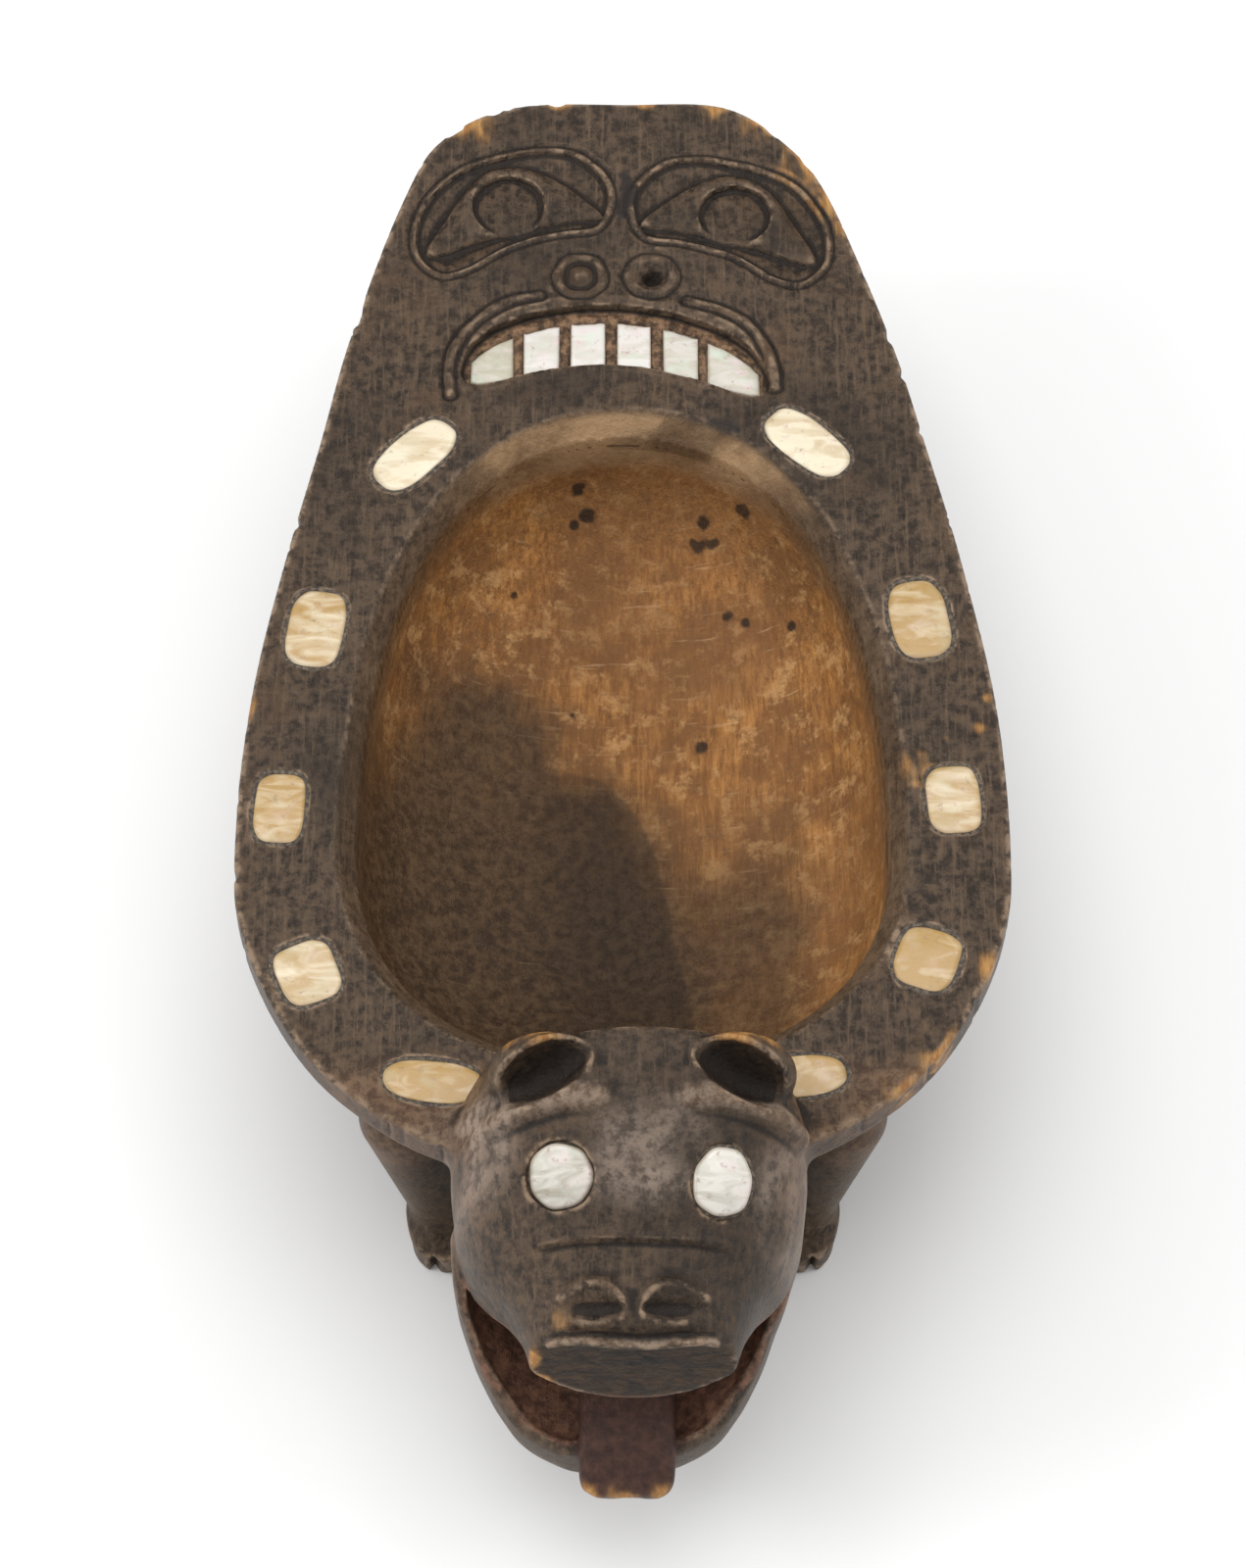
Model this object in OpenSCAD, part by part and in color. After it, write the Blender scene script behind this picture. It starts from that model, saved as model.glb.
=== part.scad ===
// Carved wooden feast bowl in the form of an animal, inlaid with shell.
// Frame: +Z up, X across the bowl, the head toward -Y and the tail board toward +Y.
// The origin is on the ground, under the middle of the bowl's length and width.

/* [Vessel] */
// Length over all, from the tongue's tip to the tail edge
bowl_length = 400; // [390:1:410]
// Widest part of the rim
bowl_width = 200; // [194:1:206]
// Height of the flat rim above the ground
rim_z = 96; // [92:1:100]
// Height of the upright band under the rim's edge
band_h = 9; // [6:1:12]
// Height of the belly's underside above the ground
belly_z = 24; // [20:1:28]

/* [Cavity] */
// Half width of the hollow at the rim
hollow_a = 73.5; // [71:0.5:75]
// Depth of the hollow below the rim
hollow_depth = 60; // [52:1:62]
// Width of the sloping lip inside the rim
lip_w = 5.5; // [4:0.5:7]
// Drop of the sloping lip
lip_h = 7; // [5:0.5:9]

/* [Head] */
// Height of the crown above the rim
crown_rise = 33; // [30:1:36]
// Sideways lean of the head from the middle of the bowl
head_shift = 2; // [0:0.5:4]
// Opening of the mouth at the front
gape = 27; // [22:1:29]
// Width of the tongue
tongue_w = 24; // [20:1:26]

/* [Legs] */
// Distance of each foot's middle from the middle of the bowl
foot_x = 47; // [44:1:50]
// Width of a foot
foot_w = 19; // [16:1:22]
// Length of a foot
foot_l = 26; // [22:1:30]

/* [Shell inlay] */
// Thickness of the shell plates
shell_t = 1.6; // [1.2:0.1:2]
// Thickness of the pitch under and around each plate
pitch_t = 0.7; // [0.5:0.1:1]
// Depth of the mouth carved in the tail board
mouth_depth = 2.6; // [2:0.1:3.2]
// Radius of the left shell eye
eye_r_left = 8; // [7:0.5:9]
// Radius of the right shell eye
eye_r_right = 7.5; // [7:0.5:9]

/* [Hidden] */
SIDES = ["left", "right"];
INLAY_COUNT = 5;
TOOTH_COUNT = 6;

// The outlines below are drawn for a bowl 400 long and 200 wide, and follow the driving sizes.
kx = bowl_width / 200;
ky = bowl_length / 400;
// A small overlap, so that a cut passes through the face that it starts on.
OVERLAP = 0.01;

// Right half of the rim's outline, from the middle of the tail edge to the middle of the front.
RIM_HALF = [
    [0, 199.5], [28, 198.8], [46, 185.5], [58, 166], [72.5, 122], [82, 84], [90.5, 45], [98, 0],
    [100, -46], [97.5, -66], [90, -85], [80, -101], [68, -113], [50, -124.5], [25, -133], [0, -136]
];

// The hollow is an egg: two half super-ellipses that meet at its widest line.
HOLLOW_Y = -38 * ky;
HOLLOW_FAR = 132.5 * ky;
HOLLOW_NEAR = 67 * ky;
HOLLOW_POWER = 2.25;

// One closed eye ovoid of the tail board's face, drawn round its own middle, outer end at +X.
OVOID = [
    [20, -23.5], [27.5, -16], [28, -4], [22, 9], [12, 17], [-4, 22], [-18, 21],
    [-28, 11], [-28.5, 0], [-24, -7.5], [-13, -9.5], [0, -14], [11, -21.5]
];
OVOID_MIDDLES = [[-31, 162], [30, 159]];
// The pointed eyelid inside each ovoid.
LID = [
    [23, -15], [19, -3], [10, 11.5], [1, 15.5], [-8, 14], [-18, 7], [-25.5, -2],
    [-16, -3], [-5, -6.5], [8, -10]
];
IRIS_R = 10;
IRIS_AT = [1, 1.5];
NOSTRIL_R = 8;
NOSTRIL_AT = [[-11.8, 139.6], [7.9, 139.6]];

// Each lip strip beside the carved mouth: its middle line, from the upper end to the lower.
LIP_STRIPS = [
    [[-23, 133], [-31, 131], [-39, 125.5], [-45, 118], [-47.5, 109], [-47, 100]],
    [[18, 131], [26, 128.5], [34, 123.5], [39, 115.5], [41, 108], [41.5, 102]]
];

// The carved mouth is a shallow arch: its middle line and its half height at each x.
MOUTH_X = -2.2;
MOUTH_HALF_W = 41.5;
MOUTH_MID_Y = 118.9;
MOUTH_BEND = 0.0088;
TOOTH_SPANS = [[-41.6, -30], [-27.2, -17.4], [-14.3, -4.9], [-1.6, 7.6], [11, 20.5], [23.1, 37.2]];

// Rim inlays on each side, from the tail to the head: middle, length, width, turn and squareness.
RIM_INLAYS = [
    [[[-56.3, 80], 27, 14, 47, 2.8], [[-81.2, 24.6], 24, 15.5, 82, 3.2], [[-88.8, -30], 21, 13.5, 87, 3.6],
     [[-80, -78], 18, 16, 112, 3.4], [[-47.5, -108.8], 26, 12, -7, 2.4]],
    [[[49.8, 84], 27, 14, -43, 2.8], [[78.5, 27.6], 24.5, 16, 99, 3], [[85.6, -27.4], 20.5, 14.5, 94, 3.4],
     [[77.3, -74], 18, 16.5, 70, 3.2], [[43.5, -107.4], 26, 12, 6, 2.4]]
];

EYE_R = [eye_r_left, eye_r_right];
EYE_AT = [[-15, -144], [24.1, -146]];
EYE_PITCH = 24;
EYE_ROLL = 15;
EYE_PROUD = 0.9;

FRONT_LEG_Y = -104;
HIND_LEG_Y = 70;

// Head and neck, from the back of the head to the front of the snout:
// [y, half width, top above the rim, widest level, bottom, squareness]
HEAD_STATIONS = [
    [-107, 37, crown_rise - 16, -12, -60, 2.4],
    [-109, 42, crown_rise - 5, -12, -61, 2.3],
    [-113, 45, crown_rise, -12, -62, 2.3],
    [-122, 46, crown_rise - 1, -12, -62, 2.3],
    [-134.5, 45, crown_rise - 5, -13, -62, 2.3],
    [-148, 43, crown_rise - 10.5, -15, -62, 2.4],
    [-159, 40, crown_rise - 15.5, -16, -62, 2.6],
    [-161, 37.5, crown_rise - 16.5, -16, -62, 2.7],
    [-170, 31, crown_rise - 19, -12, -40, 2.8],
    [-180, 26.5, crown_rise - 22, -8, -26, 3],
    [-188, 24, crown_rise - 26, -8, -20, 3]
];

// Lower jaw: [y, half width, top above the rim, bottom above the rim]
JAW_STATIONS = [
    [-140, 42, -22, -62], [-150, 41.5, -22, -63], [-158, 40, -22, -64], [-168, 36.5, -32, -64.5],
    [-176, 32.5, -38, -64], [-184, 26.5, -41, -62], [-188, 20, -42.5, -59], [-190, 12, -44, -56]
];
MOUTH_CORNER = [-157, -20];

function sgn_pow(v, p) = sign(v) * pow(abs(v), p);
function mix(a, b, t) = a + (b - a) * t;
function clamp01(t) = min(max(t, 0), 1);
function at(p) = [p[0] * kx, p[1] * ky];

// A point on a smooth curve through b and c, with a and d on either side.
function curve_point(a, b, c, d, t) =
    0.5 * (2 * b + (c - a) * t + (2 * a - 5 * b + 4 * c - d) * t * t + (3 * b - a - 3 * c + d) * t * t * t);

function closed_curve(p, steps) = [
    for (i = [0 : len(p) - 1], s = [0 : steps - 1])
        let (n = len(p))
        curve_point(p[(i + n - 1) % n], p[i], p[(i + 1) % n], p[(i + 2) % n], s / steps)
];

function open_curve(p, steps) = concat(
    [
        for (i = [0 : len(p) - 2], s = [0 : steps - 1])
            let (n = len(p) - 1)
            curve_point(p[max(i - 1, 0)], p[i], p[i + 1], p[min(i + 2, n)], s / steps)
    ],
    [p[len(p) - 1]]
);

// The whole outline from its right half, in one turn, clockwise seen from above.
function both_halves(half) = concat(
    half,
    [for (i = [len(half) - 2 : -1 : 1]) [-half[i][0], half[i][1]]]
);

RIM = [for (p = both_halves(open_curve(RIM_HALF, 2))) at(p)];

function super_ellipse(a, b, power, count) = [
    for (i = [0 : count - 1])
        let (t = 360 * i / count)
        [a * sgn_pow(cos(t), 2 / power), b * sgn_pow(sin(t), 2 / power)]
];

// The hollow's outline, drawn in by inset and then shrunk to a share of its size.
function hollow_outline(inset, share) = [
    for (i = [0 : 71])
        let (t = 5 * i, b = sin(t) > 0 ? HOLLOW_FAR : HOLLOW_NEAR)
        [
            share * (hollow_a * kx - inset) * sgn_pow(cos(t), 2 / HOLLOW_POWER),
            HOLLOW_Y + share * (b - inset) * sgn_pow(sin(t), 2 / HOLLOW_POWER)
        ]
];

function level(outline, z) = [for (p = outline) [p[0], p[1], z]];

function segment_distance(p, a, b) =
    let (ab = b - a, t = clamp01(((p - a) * ab) / (ab * ab)))
    norm(p - a - ab * t);

function edge_distance(p) = min([
    for (i = [0 : len(RIM) - 1]) segment_distance(p, RIM[i], RIM[(i + 1) % len(RIM)])
]);

// Height of the keel along the length: it rises to the tail board and to the neck.
function keel_z(y) = belly_z
    + 48 * pow(max(y / ky - 40, 0) / 160, 2)
    + 16 * pow(max(-70 - y / ky, 0) / 66, 2);

// Underside of the hull: it drops steeply in from the rim's band and flattens at the keel.
UNDERSIDE_REACH = 76;
UNDERSIDE_POWER = 1.4;
function underside_z(p) =
    let (
        s = clamp01(edge_distance(p) / UNDERSIDE_REACH),
        k = keel_z(p[1]),
        drop = pow(1 - pow(1 - s, UNDERSIDE_POWER), 1 / UNDERSIDE_POWER)
    )
    mix(rim_z - band_h, k, drop);

// Triangles that close a ring by joining its points in pairs across the ring's own middle line.
function zip_cap(n, first) = [
    for (i = [0 : n / 2 - 1], half = [0, 1])
        let (j = n - i, a = first + i, b = first + i + 1, c = first + (j - 1) % n, d = first + j % n)
        if (half == 0 && i < n / 2 - 1 || half == 1 && i > 0)
            half == 0 ? [a, b, c] : [a, i < n / 2 - 1 ? c : b, d]
];
function flipped(faces) = [for (f = faces) [f[0], f[2], f[1]]];

// Polyhedron through rings of equal, even length. The first and the last ring close it.
module loft(rings) {
    n = len(rings[0]);
    m = len(rings);
    sides = [
        for (j = [0 : m - 2], i = [0 : n - 1], half = [0, 1])
            let (a = j * n + i, b = j * n + (i + 1) % n)
            half == 0 ? [a, b + n, b] : [a, a + n, b + n]
    ];
    caps = concat(zip_cap(n, 0), flipped(zip_cap(n, (m - 1) * n)));
    polyhedron([for (r = rings) each r], concat(caps, sides), convexity = 6);
}

// The hull, as rings that close in from the rim to a short keel line.
HULL_SHARES = [0.99, 0.965, 0.92, 0.85, 0.74, 0.6, 0.42, 0.22, 0.06];
function keel_point(p) = [0, p[1] * 0.55 - 8];
function hull_ring(share) = [
    for (p = RIM) let (q = mix(keel_point(p), p, share)) [q[0], q[1], underside_z(q)]
];

module hull_solid() {
    loft(concat([level(RIM, rim_z), level(RIM, rim_z - band_h)], [for (s = HULL_SHARES) hull_ring(s)]));
}

// The hollow: a sloping lip, a small step under it, and a rounded bowl.
BOWL_SHARES = [1, 0.985, 0.95, 0.89, 0.8, 0.66, 0.48, 0.26, 0.05];
BOWL_POWER = 2.4;
function reversed(list) = [for (i = [len(list) - 1 : -1 : 0]) list[i]];

module hollow_solid() {
    wall_top = rim_z - lip_h - 1;
    bowl_depth = hollow_depth - lip_h - 1;
    bowl = [
        for (s = BOWL_SHARES)
            level(
                reversed(hollow_outline(lip_w - 0.8, s)),
                wall_top - bowl_depth * pow(1 - pow(s, BOWL_POWER), 1 / BOWL_POWER)
            )
    ];
    loft(concat(
        [
            level(reversed(hollow_outline(-1, 1)), rim_z + 1),
            level(reversed(hollow_outline(0, 1)), rim_z),
            level(reversed(hollow_outline(lip_w * 0.35, 1)), rim_z - lip_h * 0.3),
            level(reversed(hollow_outline(lip_w, 1)), rim_z - lip_h)
        ],
        bowl
    ));
}

// One ring of the head: a super-ellipse whose upper and lower halves have their own heights.
RING_POINTS = 36;
function head_ring(s, shift) = [
    for (i = [0 : RING_POINTS - 1])
        let (t = 360 * i / RING_POINTS, h = sin(t) > 0 ? s[2] - s[3] : s[3] - s[4])
        [
            shift + s[1] * sgn_pow(cos(t), 2 / s[5]),
            s[0] * ky,
            rim_z + s[3] + h * sgn_pow(sin(t), 2 / s[5])
        ]
];

function jaw_ring(s) = head_ring([s[0], s[1], s[2], s[3] * 0.6 + s[2] * 0.4, s[3], 3.2], head_shift - 1);

module head_solid() {
    loft([for (s = HEAD_STATIONS) head_ring(s, head_shift)]);
    loft([for (s = JAW_STATIONS) jaw_ring(s)]);
}

// A ball or a flattened ball, used to round the limbs, the ears and the brows.
module ball(p, size, facets = 16) {
    translate(p) scale(size) sphere(r = 1, $fn = facets);
}

module ear(side) {
    x = head_shift + 2.5 + side * 24;
    ball([x, -116.5 * ky, rim_z + 18], [14, 8.5, 14]);
}

module ear_cup(side) {
    x = head_shift + 2.5 + side * 24;
    ball([x, -119.5 * ky, rim_z + 30], [11, 9, 8.5]);
}

module brow(side) {
    x = head_shift + 2.5;
    hull() {
        ball([x + side * 12, -128 * ky, rim_z + 26], [4, 4, 3], 12);
        ball([x + side * 23, -129.5 * ky, rim_z + 23.5], [4, 4, 3], 12);
        ball([x + side * 34, -129.5 * ky, rim_z + 14], [3, 4, 3], 12);
    }
}

module snout_nostril(side) {
    translate([head_shift + side * 12, -176 * ky, rim_z + 12])
        rotate([25, 0, side * -8])
            scale([8, 3.4, 3])
                sphere(r = 1, $fn = 20);
}

// Everything in front of the snout's flat end, which leans back a little.
module snout_front_cut() {
    translate([-60, -184.3 * ky, rim_z - 3])
        rotate([-19, 0, 0])
            translate([0, -40, -17])
                cube([120, 40, 50]);
}

// The gap between the jaws, open to the front and to both sides.
module gape_cut() {
    corner = [MOUTH_CORNER[0] * ky, rim_z + MOUTH_CORNER[1]];
    front_top = rim_z - 15;
    rotate([90, 0, 90])
        linear_extrude(height = 120, center = true)
            polygon([
                [corner[0], corner[1] + 1], [-178 * ky, front_top - 0.5], [-215 * ky, front_top],
                [-215 * ky, front_top - gape - 1], [-188 * ky, front_top - gape],
                [-172 * ky, rim_z - 36], [corner[0], corner[1] - 1]
            ]);
}

// The hollow inside the mouth, behind the lower lip.
module mouth_hollow() {
    loft([
        for (s = [[-139, 30, -18, -44], [-150, 35, -18, -46], [-160, 36, -19, -47], [-172, 31, -17, -47],
                  [-181, 24, -16, -47], [-185, 16, -18, -45]])
            head_ring([s[0], s[1], s[2], (s[2] + s[3]) / 2, s[3], 3], head_shift - 1)
    ]);
}

// The tongue: [y, half width share, top, bottom], with its tip hanging over the lower lip.
TONGUE_STATIONS = [
    [-138, 0.8, -40, -50], [-160, 0.95, -37, -50], [-178, 1, -35.5, -50], [-185, 1, -36.5, -49],
    [-191, 0.98, -39, -48], [-196, 0.9, -42, -50], [-199, 0.65, -45, -51], [-200, 0.4, -46.5, -50]
];

module tongue() {
    loft([
        for (s = TONGUE_STATIONS)
            head_ring([s[0], s[1] * tongue_w / 2, s[2], (s[2] + s[3]) / 2, s[3], 3.4], 1)
    ]);
}

// A leg leans in from the hull to its foot. The paw's sole is flat, with two clefts between the toes.
module leg(side, y, lean) {
    top = [side * 58 * kx, (y + lean) * ky, 60];
    ankle = [side * (foot_x + 2), y * ky, 16];
    hull() {
        ball(top, [9, 13, 12]);
        ball(ankle, [foot_w * 0.42, 9, 9]);
    }
    hull() {
        ball(ankle, [foot_w * 0.42, 9, 8]);
        translate([side * foot_x, y * ky - 2, 0]) paw_outline(4);
    }
}

module paw_outline(height) {
    linear_extrude(height = height)
        polygon(super_ellipse(foot_w / 2, foot_l / 2, 2.6, 28));
}

module toe_clefts(side, y) {
    for (k = [-1, 1])
        translate([side * foot_x + k * foot_w / 6, y * ky - 2 - foot_l / 2, 0])
            rotate([0, 0, 45])
                cube([3.4, 3.4, 13], center = true);
}

module legs() {
    for (side = [-1, 1]) {
        leg(side, FRONT_LEG_Y, 4);
        leg(side, HIND_LEG_Y, 6);
    }
}

module clefts() {
    for (side = [-1, 1], y = [FRONT_LEG_Y, HIND_LEG_Y]) toe_clefts(side, y);
}

// A groove or a ridge of even width along a line of points.
function offset_line(p, d) = [
    for (i = [0 : len(p) - 1])
        let (t = p[min(i + 1, len(p) - 1)] - p[max(i - 1, 0)], u = t / norm(t))
        p[i] + d * [-u[1], u[0]]
];
function strip_outline(line, w) = concat(offset_line(line, w / 2), reversed(offset_line(line, -w / 2)));

module cut_down(depth) {
    translate([0, 0, rim_z - depth]) linear_extrude(height = depth + 1) children();
}

// The face on the tail board: sunk ovoids with raised lids and irises, nostrils and lips.
module tail_face_cuts() {
    for (k = [0, 1]) {
        side = k == 0 ? -1 : 1;
        middle = at(OVOID_MIDDLES[k]);
        translate(middle)
            difference() {
                cut_down(1.4) scale([side, 1]) polygon(closed_curve(OVOID, 2));
                translate([0, 0, rim_z - 3])
                    linear_extrude(height = 2.6)
                        scale([side, 1])
                            polygon(closed_curve(LID, 2));
            }
        translate(middle + [side * IRIS_AT[0], IRIS_AT[1]])
            cut_down(1.2) difference() {
                circle(r = IRIS_R, $fn = 40);
                circle(r = IRIS_R - 0.8, $fn = 40);
            }
        translate(at(NOSTRIL_AT[k])) {
            cut_down(0.8) difference() {
                circle(r = NOSTRIL_R, $fn = 32);
                circle(r = NOSTRIL_R - 0.9, $fn = 32);
            }
            if (k == 1) translate([0, 0, rim_z - 5]) cylinder(h = 5 + OVERLAP, r1 = 0.8, r2 = 4, $fn = 24);
        }
        cut_down(0.8) polygon(strip_outline([for (p = open_curve(LIP_STRIPS[k], 2)) at(p)], 1.2));
    }
}

// The arch of the carved mouth, as the outline between two x values.
function mouth_mid(x) = MOUTH_MID_Y - MOUTH_BEND * pow(x + 3, 2) - 0.02 * (x + 3);
function mouth_share(x, half_w) = sqrt(max(1 - pow((x - MOUTH_X) / half_w, 4), 0.0));
function arch(x0, x1, above, below, half_w, steps) = concat(
    [
        for (i = [0 : steps])
            let (x = mix(x0, x1, (1 - cos(180 * i / steps)) / 2))
            at([x, mouth_mid(x) + above * max(mouth_share(x, half_w), 0.08)])
    ],
    [
        for (i = [steps : -1 : 0])
            let (x = mix(x0, x1, (1 - cos(180 * i / steps)) / 2))
            at([x, mouth_mid(x) - below * max(mouth_share(x, half_w), 0.08)])
    ]
);
function tooth_outline(k) = arch(TOOTH_SPANS[k][0], TOOTH_SPANS[k][1], 7.6, 8.2, MOUTH_HALF_W - 1, 8);
function grown(outline, d) =
    let (n = len(outline))
    [
        for (i = [0 : n - 1])
            let (t = outline[(i + 1) % n] - outline[(i + n - 1) % n], u = t / max(norm(t), OVERLAP))
            outline[i] + d * [-u[1], u[0]]
    ];

TOOTH_TOP = rim_z - mouth_depth + 0.4;
TOOTH_PITCH_SIDE = 0.4;

module mouth_recess() {
    cut_down(mouth_depth)
        polygon(arch(MOUTH_X - MOUTH_HALF_W, MOUTH_X + MOUTH_HALF_W, 10.6, 9, MOUTH_HALF_W, 24));
}

module tooth(k) {
    color("gainsboro")
        translate([0, 0, TOOTH_TOP - shell_t])
            linear_extrude(height = shell_t)
                polygon(tooth_outline(k));
}

module tooth_pocket(k) {
    bottom = TOOTH_TOP - shell_t - pitch_t;
    translate([0, 0, bottom])
        linear_extrude(height = rim_z - mouth_depth - bottom)
            polygon(grown(tooth_outline(k), TOOTH_PITCH_SIDE));
}

module tooth_pitch(k) {
    color([0.16, 0.13, 0.11])
        difference() {
            tooth_pocket(k);
            translate([0, 0, TOOTH_TOP - shell_t])
                linear_extrude(height = shell_t + 1)
                    polygon(tooth_outline(k));
        }
}

// A rim inlay lies flush with the rim, in a pocket that holds the pitch under and around it.
function inlay_outline(inlay, extra) =
    super_ellipse(inlay[1] / 2 + extra, inlay[2] / 2 + extra, inlay[4], 28);

module inlay_place(inlay) {
    translate(at(inlay[0])) rotate(inlay[3]) children();
}

module rim_inlay(s, k) {
    inlay = RIM_INLAYS[s][k];
    color([0.86, 0.80, 0.62])
        inlay_place(inlay)
            translate([0, 0, rim_z - shell_t])
                linear_extrude(height = shell_t)
                    polygon(inlay_outline(inlay, 0));
}

module rim_pocket(s, k, above = 0) {
    inlay = RIM_INLAYS[s][k];
    inlay_place(inlay)
        translate([0, 0, rim_z - shell_t - pitch_t])
            linear_extrude(height = shell_t + pitch_t + above)
                polygon(inlay_outline(inlay, pitch_t));
}

module rim_pitch(s, k) {
    inlay = RIM_INLAYS[s][k];
    color([0.16, 0.13, 0.11])
        difference() {
            rim_pocket(s, k);
            inlay_place(inlay)
                translate([0, 0, rim_z - shell_t])
                    linear_extrude(height = shell_t + 1)
                        polygon(inlay_outline(inlay, 0));
        }
}

// The shell eyes are domed discs, set square to the slope of the head.
EYE_Z = rim_z + crown_rise - 14;
EYE_DOME = 1.4;

module eye_place(s) {
    side = s == 0 ? -1 : 1;
    translate([EYE_AT[s][0], EYE_AT[s][1] * ky, EYE_Z]) rotate([EYE_PITCH, side * EYE_ROLL, 0]) children();
}

module eye_shell(s) {
    r = EYE_R[s];
    steps = 6;
    dome = [for (i = [0 : steps]) [r * i / steps, EYE_PROUD + EYE_DOME * (1 - pow(i / steps, 2))]];
    bottom = EYE_PROUD - shell_t;
    color("whitesmoke")
        eye_place(s)
            rotate_extrude($fn = 48)
                polygon(concat([[0, bottom], [r, bottom]], reversed(dome)));
}

module eye_pocket(s, above = 0) {
    eye_place(s)
        translate([0, 0, EYE_PROUD - shell_t - pitch_t])
            cylinder(h = shell_t + pitch_t - 1 + above, r = EYE_R[s] + pitch_t, $fn = 32);
}

module eye_pitch(s) {
    color([0.16, 0.13, 0.11])
        difference() {
            eye_pocket(s);
            eye_place(s)
                translate([0, 0, EYE_PROUD - shell_t])
                    cylinder(h = shell_t + 1, r = EYE_R[s], $fn = 48);
        }
}

module shell_pockets() {
    for (s = [0, 1]) {
        for (k = [0 : INLAY_COUNT - 1]) rim_pocket(s, k, 1);
        eye_pocket(s, 12);
    }
    for (k = [0 : TOOTH_COUNT - 1]) tooth_pocket(k);
}

// The one block of wood: hull, neck, head, jaws, tongue, legs and tail board.
module carved_body() {
    color([0.27, 0.20, 0.16])
        difference() {
            union() {
                difference() {
                    union() {
                        hull_solid();
                        head_solid();
                        for (side = [-1, 1]) {
                            ear(side);
                            brow(side);
                        }
                    }
                    hollow_solid();
                    snout_front_cut();
                    gape_cut();
                    mouth_hollow();
                }
                legs();
                tongue();
            }
            for (side = [-1, 1]) {
                ear_cup(side);
                snout_nostril(side);
            }
            clefts();
            tail_face_cuts();
            mouth_recess();
            shell_pockets();
        }
}

carved_body();
for (s = [0, 1], k = [0 : INLAY_COUNT - 1]) {
    rim_inlay(s, k);
    rim_pitch(s, k);
}
for (k = [0 : TOOTH_COUNT - 1]) {
    tooth(k);
    tooth_pitch(k);
}
for (s = [0, 1]) {
    eye_shell(s);
    eye_pitch(s);
}
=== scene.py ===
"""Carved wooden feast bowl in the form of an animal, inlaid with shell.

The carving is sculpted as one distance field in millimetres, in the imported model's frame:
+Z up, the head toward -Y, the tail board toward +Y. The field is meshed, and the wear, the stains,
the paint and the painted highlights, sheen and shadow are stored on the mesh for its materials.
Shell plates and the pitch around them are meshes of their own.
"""
import math

import bmesh
import bpy
import numpy as np
import openvdb
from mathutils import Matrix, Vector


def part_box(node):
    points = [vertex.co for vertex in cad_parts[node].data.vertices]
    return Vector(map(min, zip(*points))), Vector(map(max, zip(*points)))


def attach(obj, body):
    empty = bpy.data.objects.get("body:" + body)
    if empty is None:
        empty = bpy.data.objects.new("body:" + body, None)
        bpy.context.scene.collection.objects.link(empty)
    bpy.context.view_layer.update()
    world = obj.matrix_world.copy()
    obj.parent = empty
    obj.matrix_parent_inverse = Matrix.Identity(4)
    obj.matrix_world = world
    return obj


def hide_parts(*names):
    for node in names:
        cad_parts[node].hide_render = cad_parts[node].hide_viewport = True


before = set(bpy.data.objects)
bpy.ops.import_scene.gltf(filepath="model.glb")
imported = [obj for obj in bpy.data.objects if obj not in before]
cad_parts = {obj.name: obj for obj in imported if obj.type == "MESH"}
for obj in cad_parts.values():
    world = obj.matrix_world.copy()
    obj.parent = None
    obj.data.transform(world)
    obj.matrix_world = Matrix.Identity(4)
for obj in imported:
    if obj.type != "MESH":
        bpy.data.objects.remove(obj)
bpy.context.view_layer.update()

MM = 0.001
VOXEL = 0.6

# ---------------------------------------------------------------- sizes, mm
RIM_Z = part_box("rim_inlay_left_1")[1][2] / MM
SHELL_T = 1.6
BAND_H = 9.0
BELLY_Z = 24.0
HOLLOW_A, HOLLOW_FAR, HOLLOW_NEAR, HOLLOW_Y = 73.5, 132.5, 67.0, -38.0
HOLLOW_POWER, HOLLOW_DEPTH = 2.25, 60.0
LIP_W, LIP_H = 5.5, 7.0
HEAD_X, SNOUT_X, EARS_X, JAW_X = 1.5, 2.5, 4.8, -0.9
CROWN = 33.0
MOUTH_DEPTH = 2.8

# The rim's outline, clockwise from the middle of the tail edge. Its left corner is the fuller one.
RIM_OUTLINE = [
    (0, 199.5), (28, 198.8), (46, 185.5), (58, 166), (72.5, 122), (82, 84), (90.5, 45), (98, 0),
    (100, -46), (97.5, -66), (90, -85), (80, -101), (68, -113), (50, -124.5), (25, -133), (0, -136),
    (-25, -133), (-50, -124.5), (-68, -113), (-80, -101), (-90, -85), (-97.5, -66), (-100, -46),
    (-98, 0), (-90.5, 45), (-82, 84), (-74, 123), (-61, 167), (-51, 187), (-31, 198.5),
]
# One eye of the tail board's face, drawn round its own middle with the outer end at +X.
OVOID = [
    (20, -23.5), (27.5, -16), (28, -4), (22, 9), (12, 17), (-4, 22), (-18, 21),
    (-28, 11), (-28.5, 0), (-24, -7.5), (-13, -9.5), (0, -14), (11, -21.5),
]
LID = [
    (23, -15), (19, -3), (10, 11.5), (1, 15.5), (-8, 14), (-18, 7), (-25.5, -2),
    (-16, -3), (-5, -6.5), (8, -10),
]
OVOID_MIDDLES = [(-31, 162), (30, 159)]
IRIS_R, IRIS_AT = 10.0, (1.0, 1.5)
NOSTRIL_R = 8.0
NOSTRIL_AT = [(-11.8, 139.6), (7.9, 139.6)]
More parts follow.
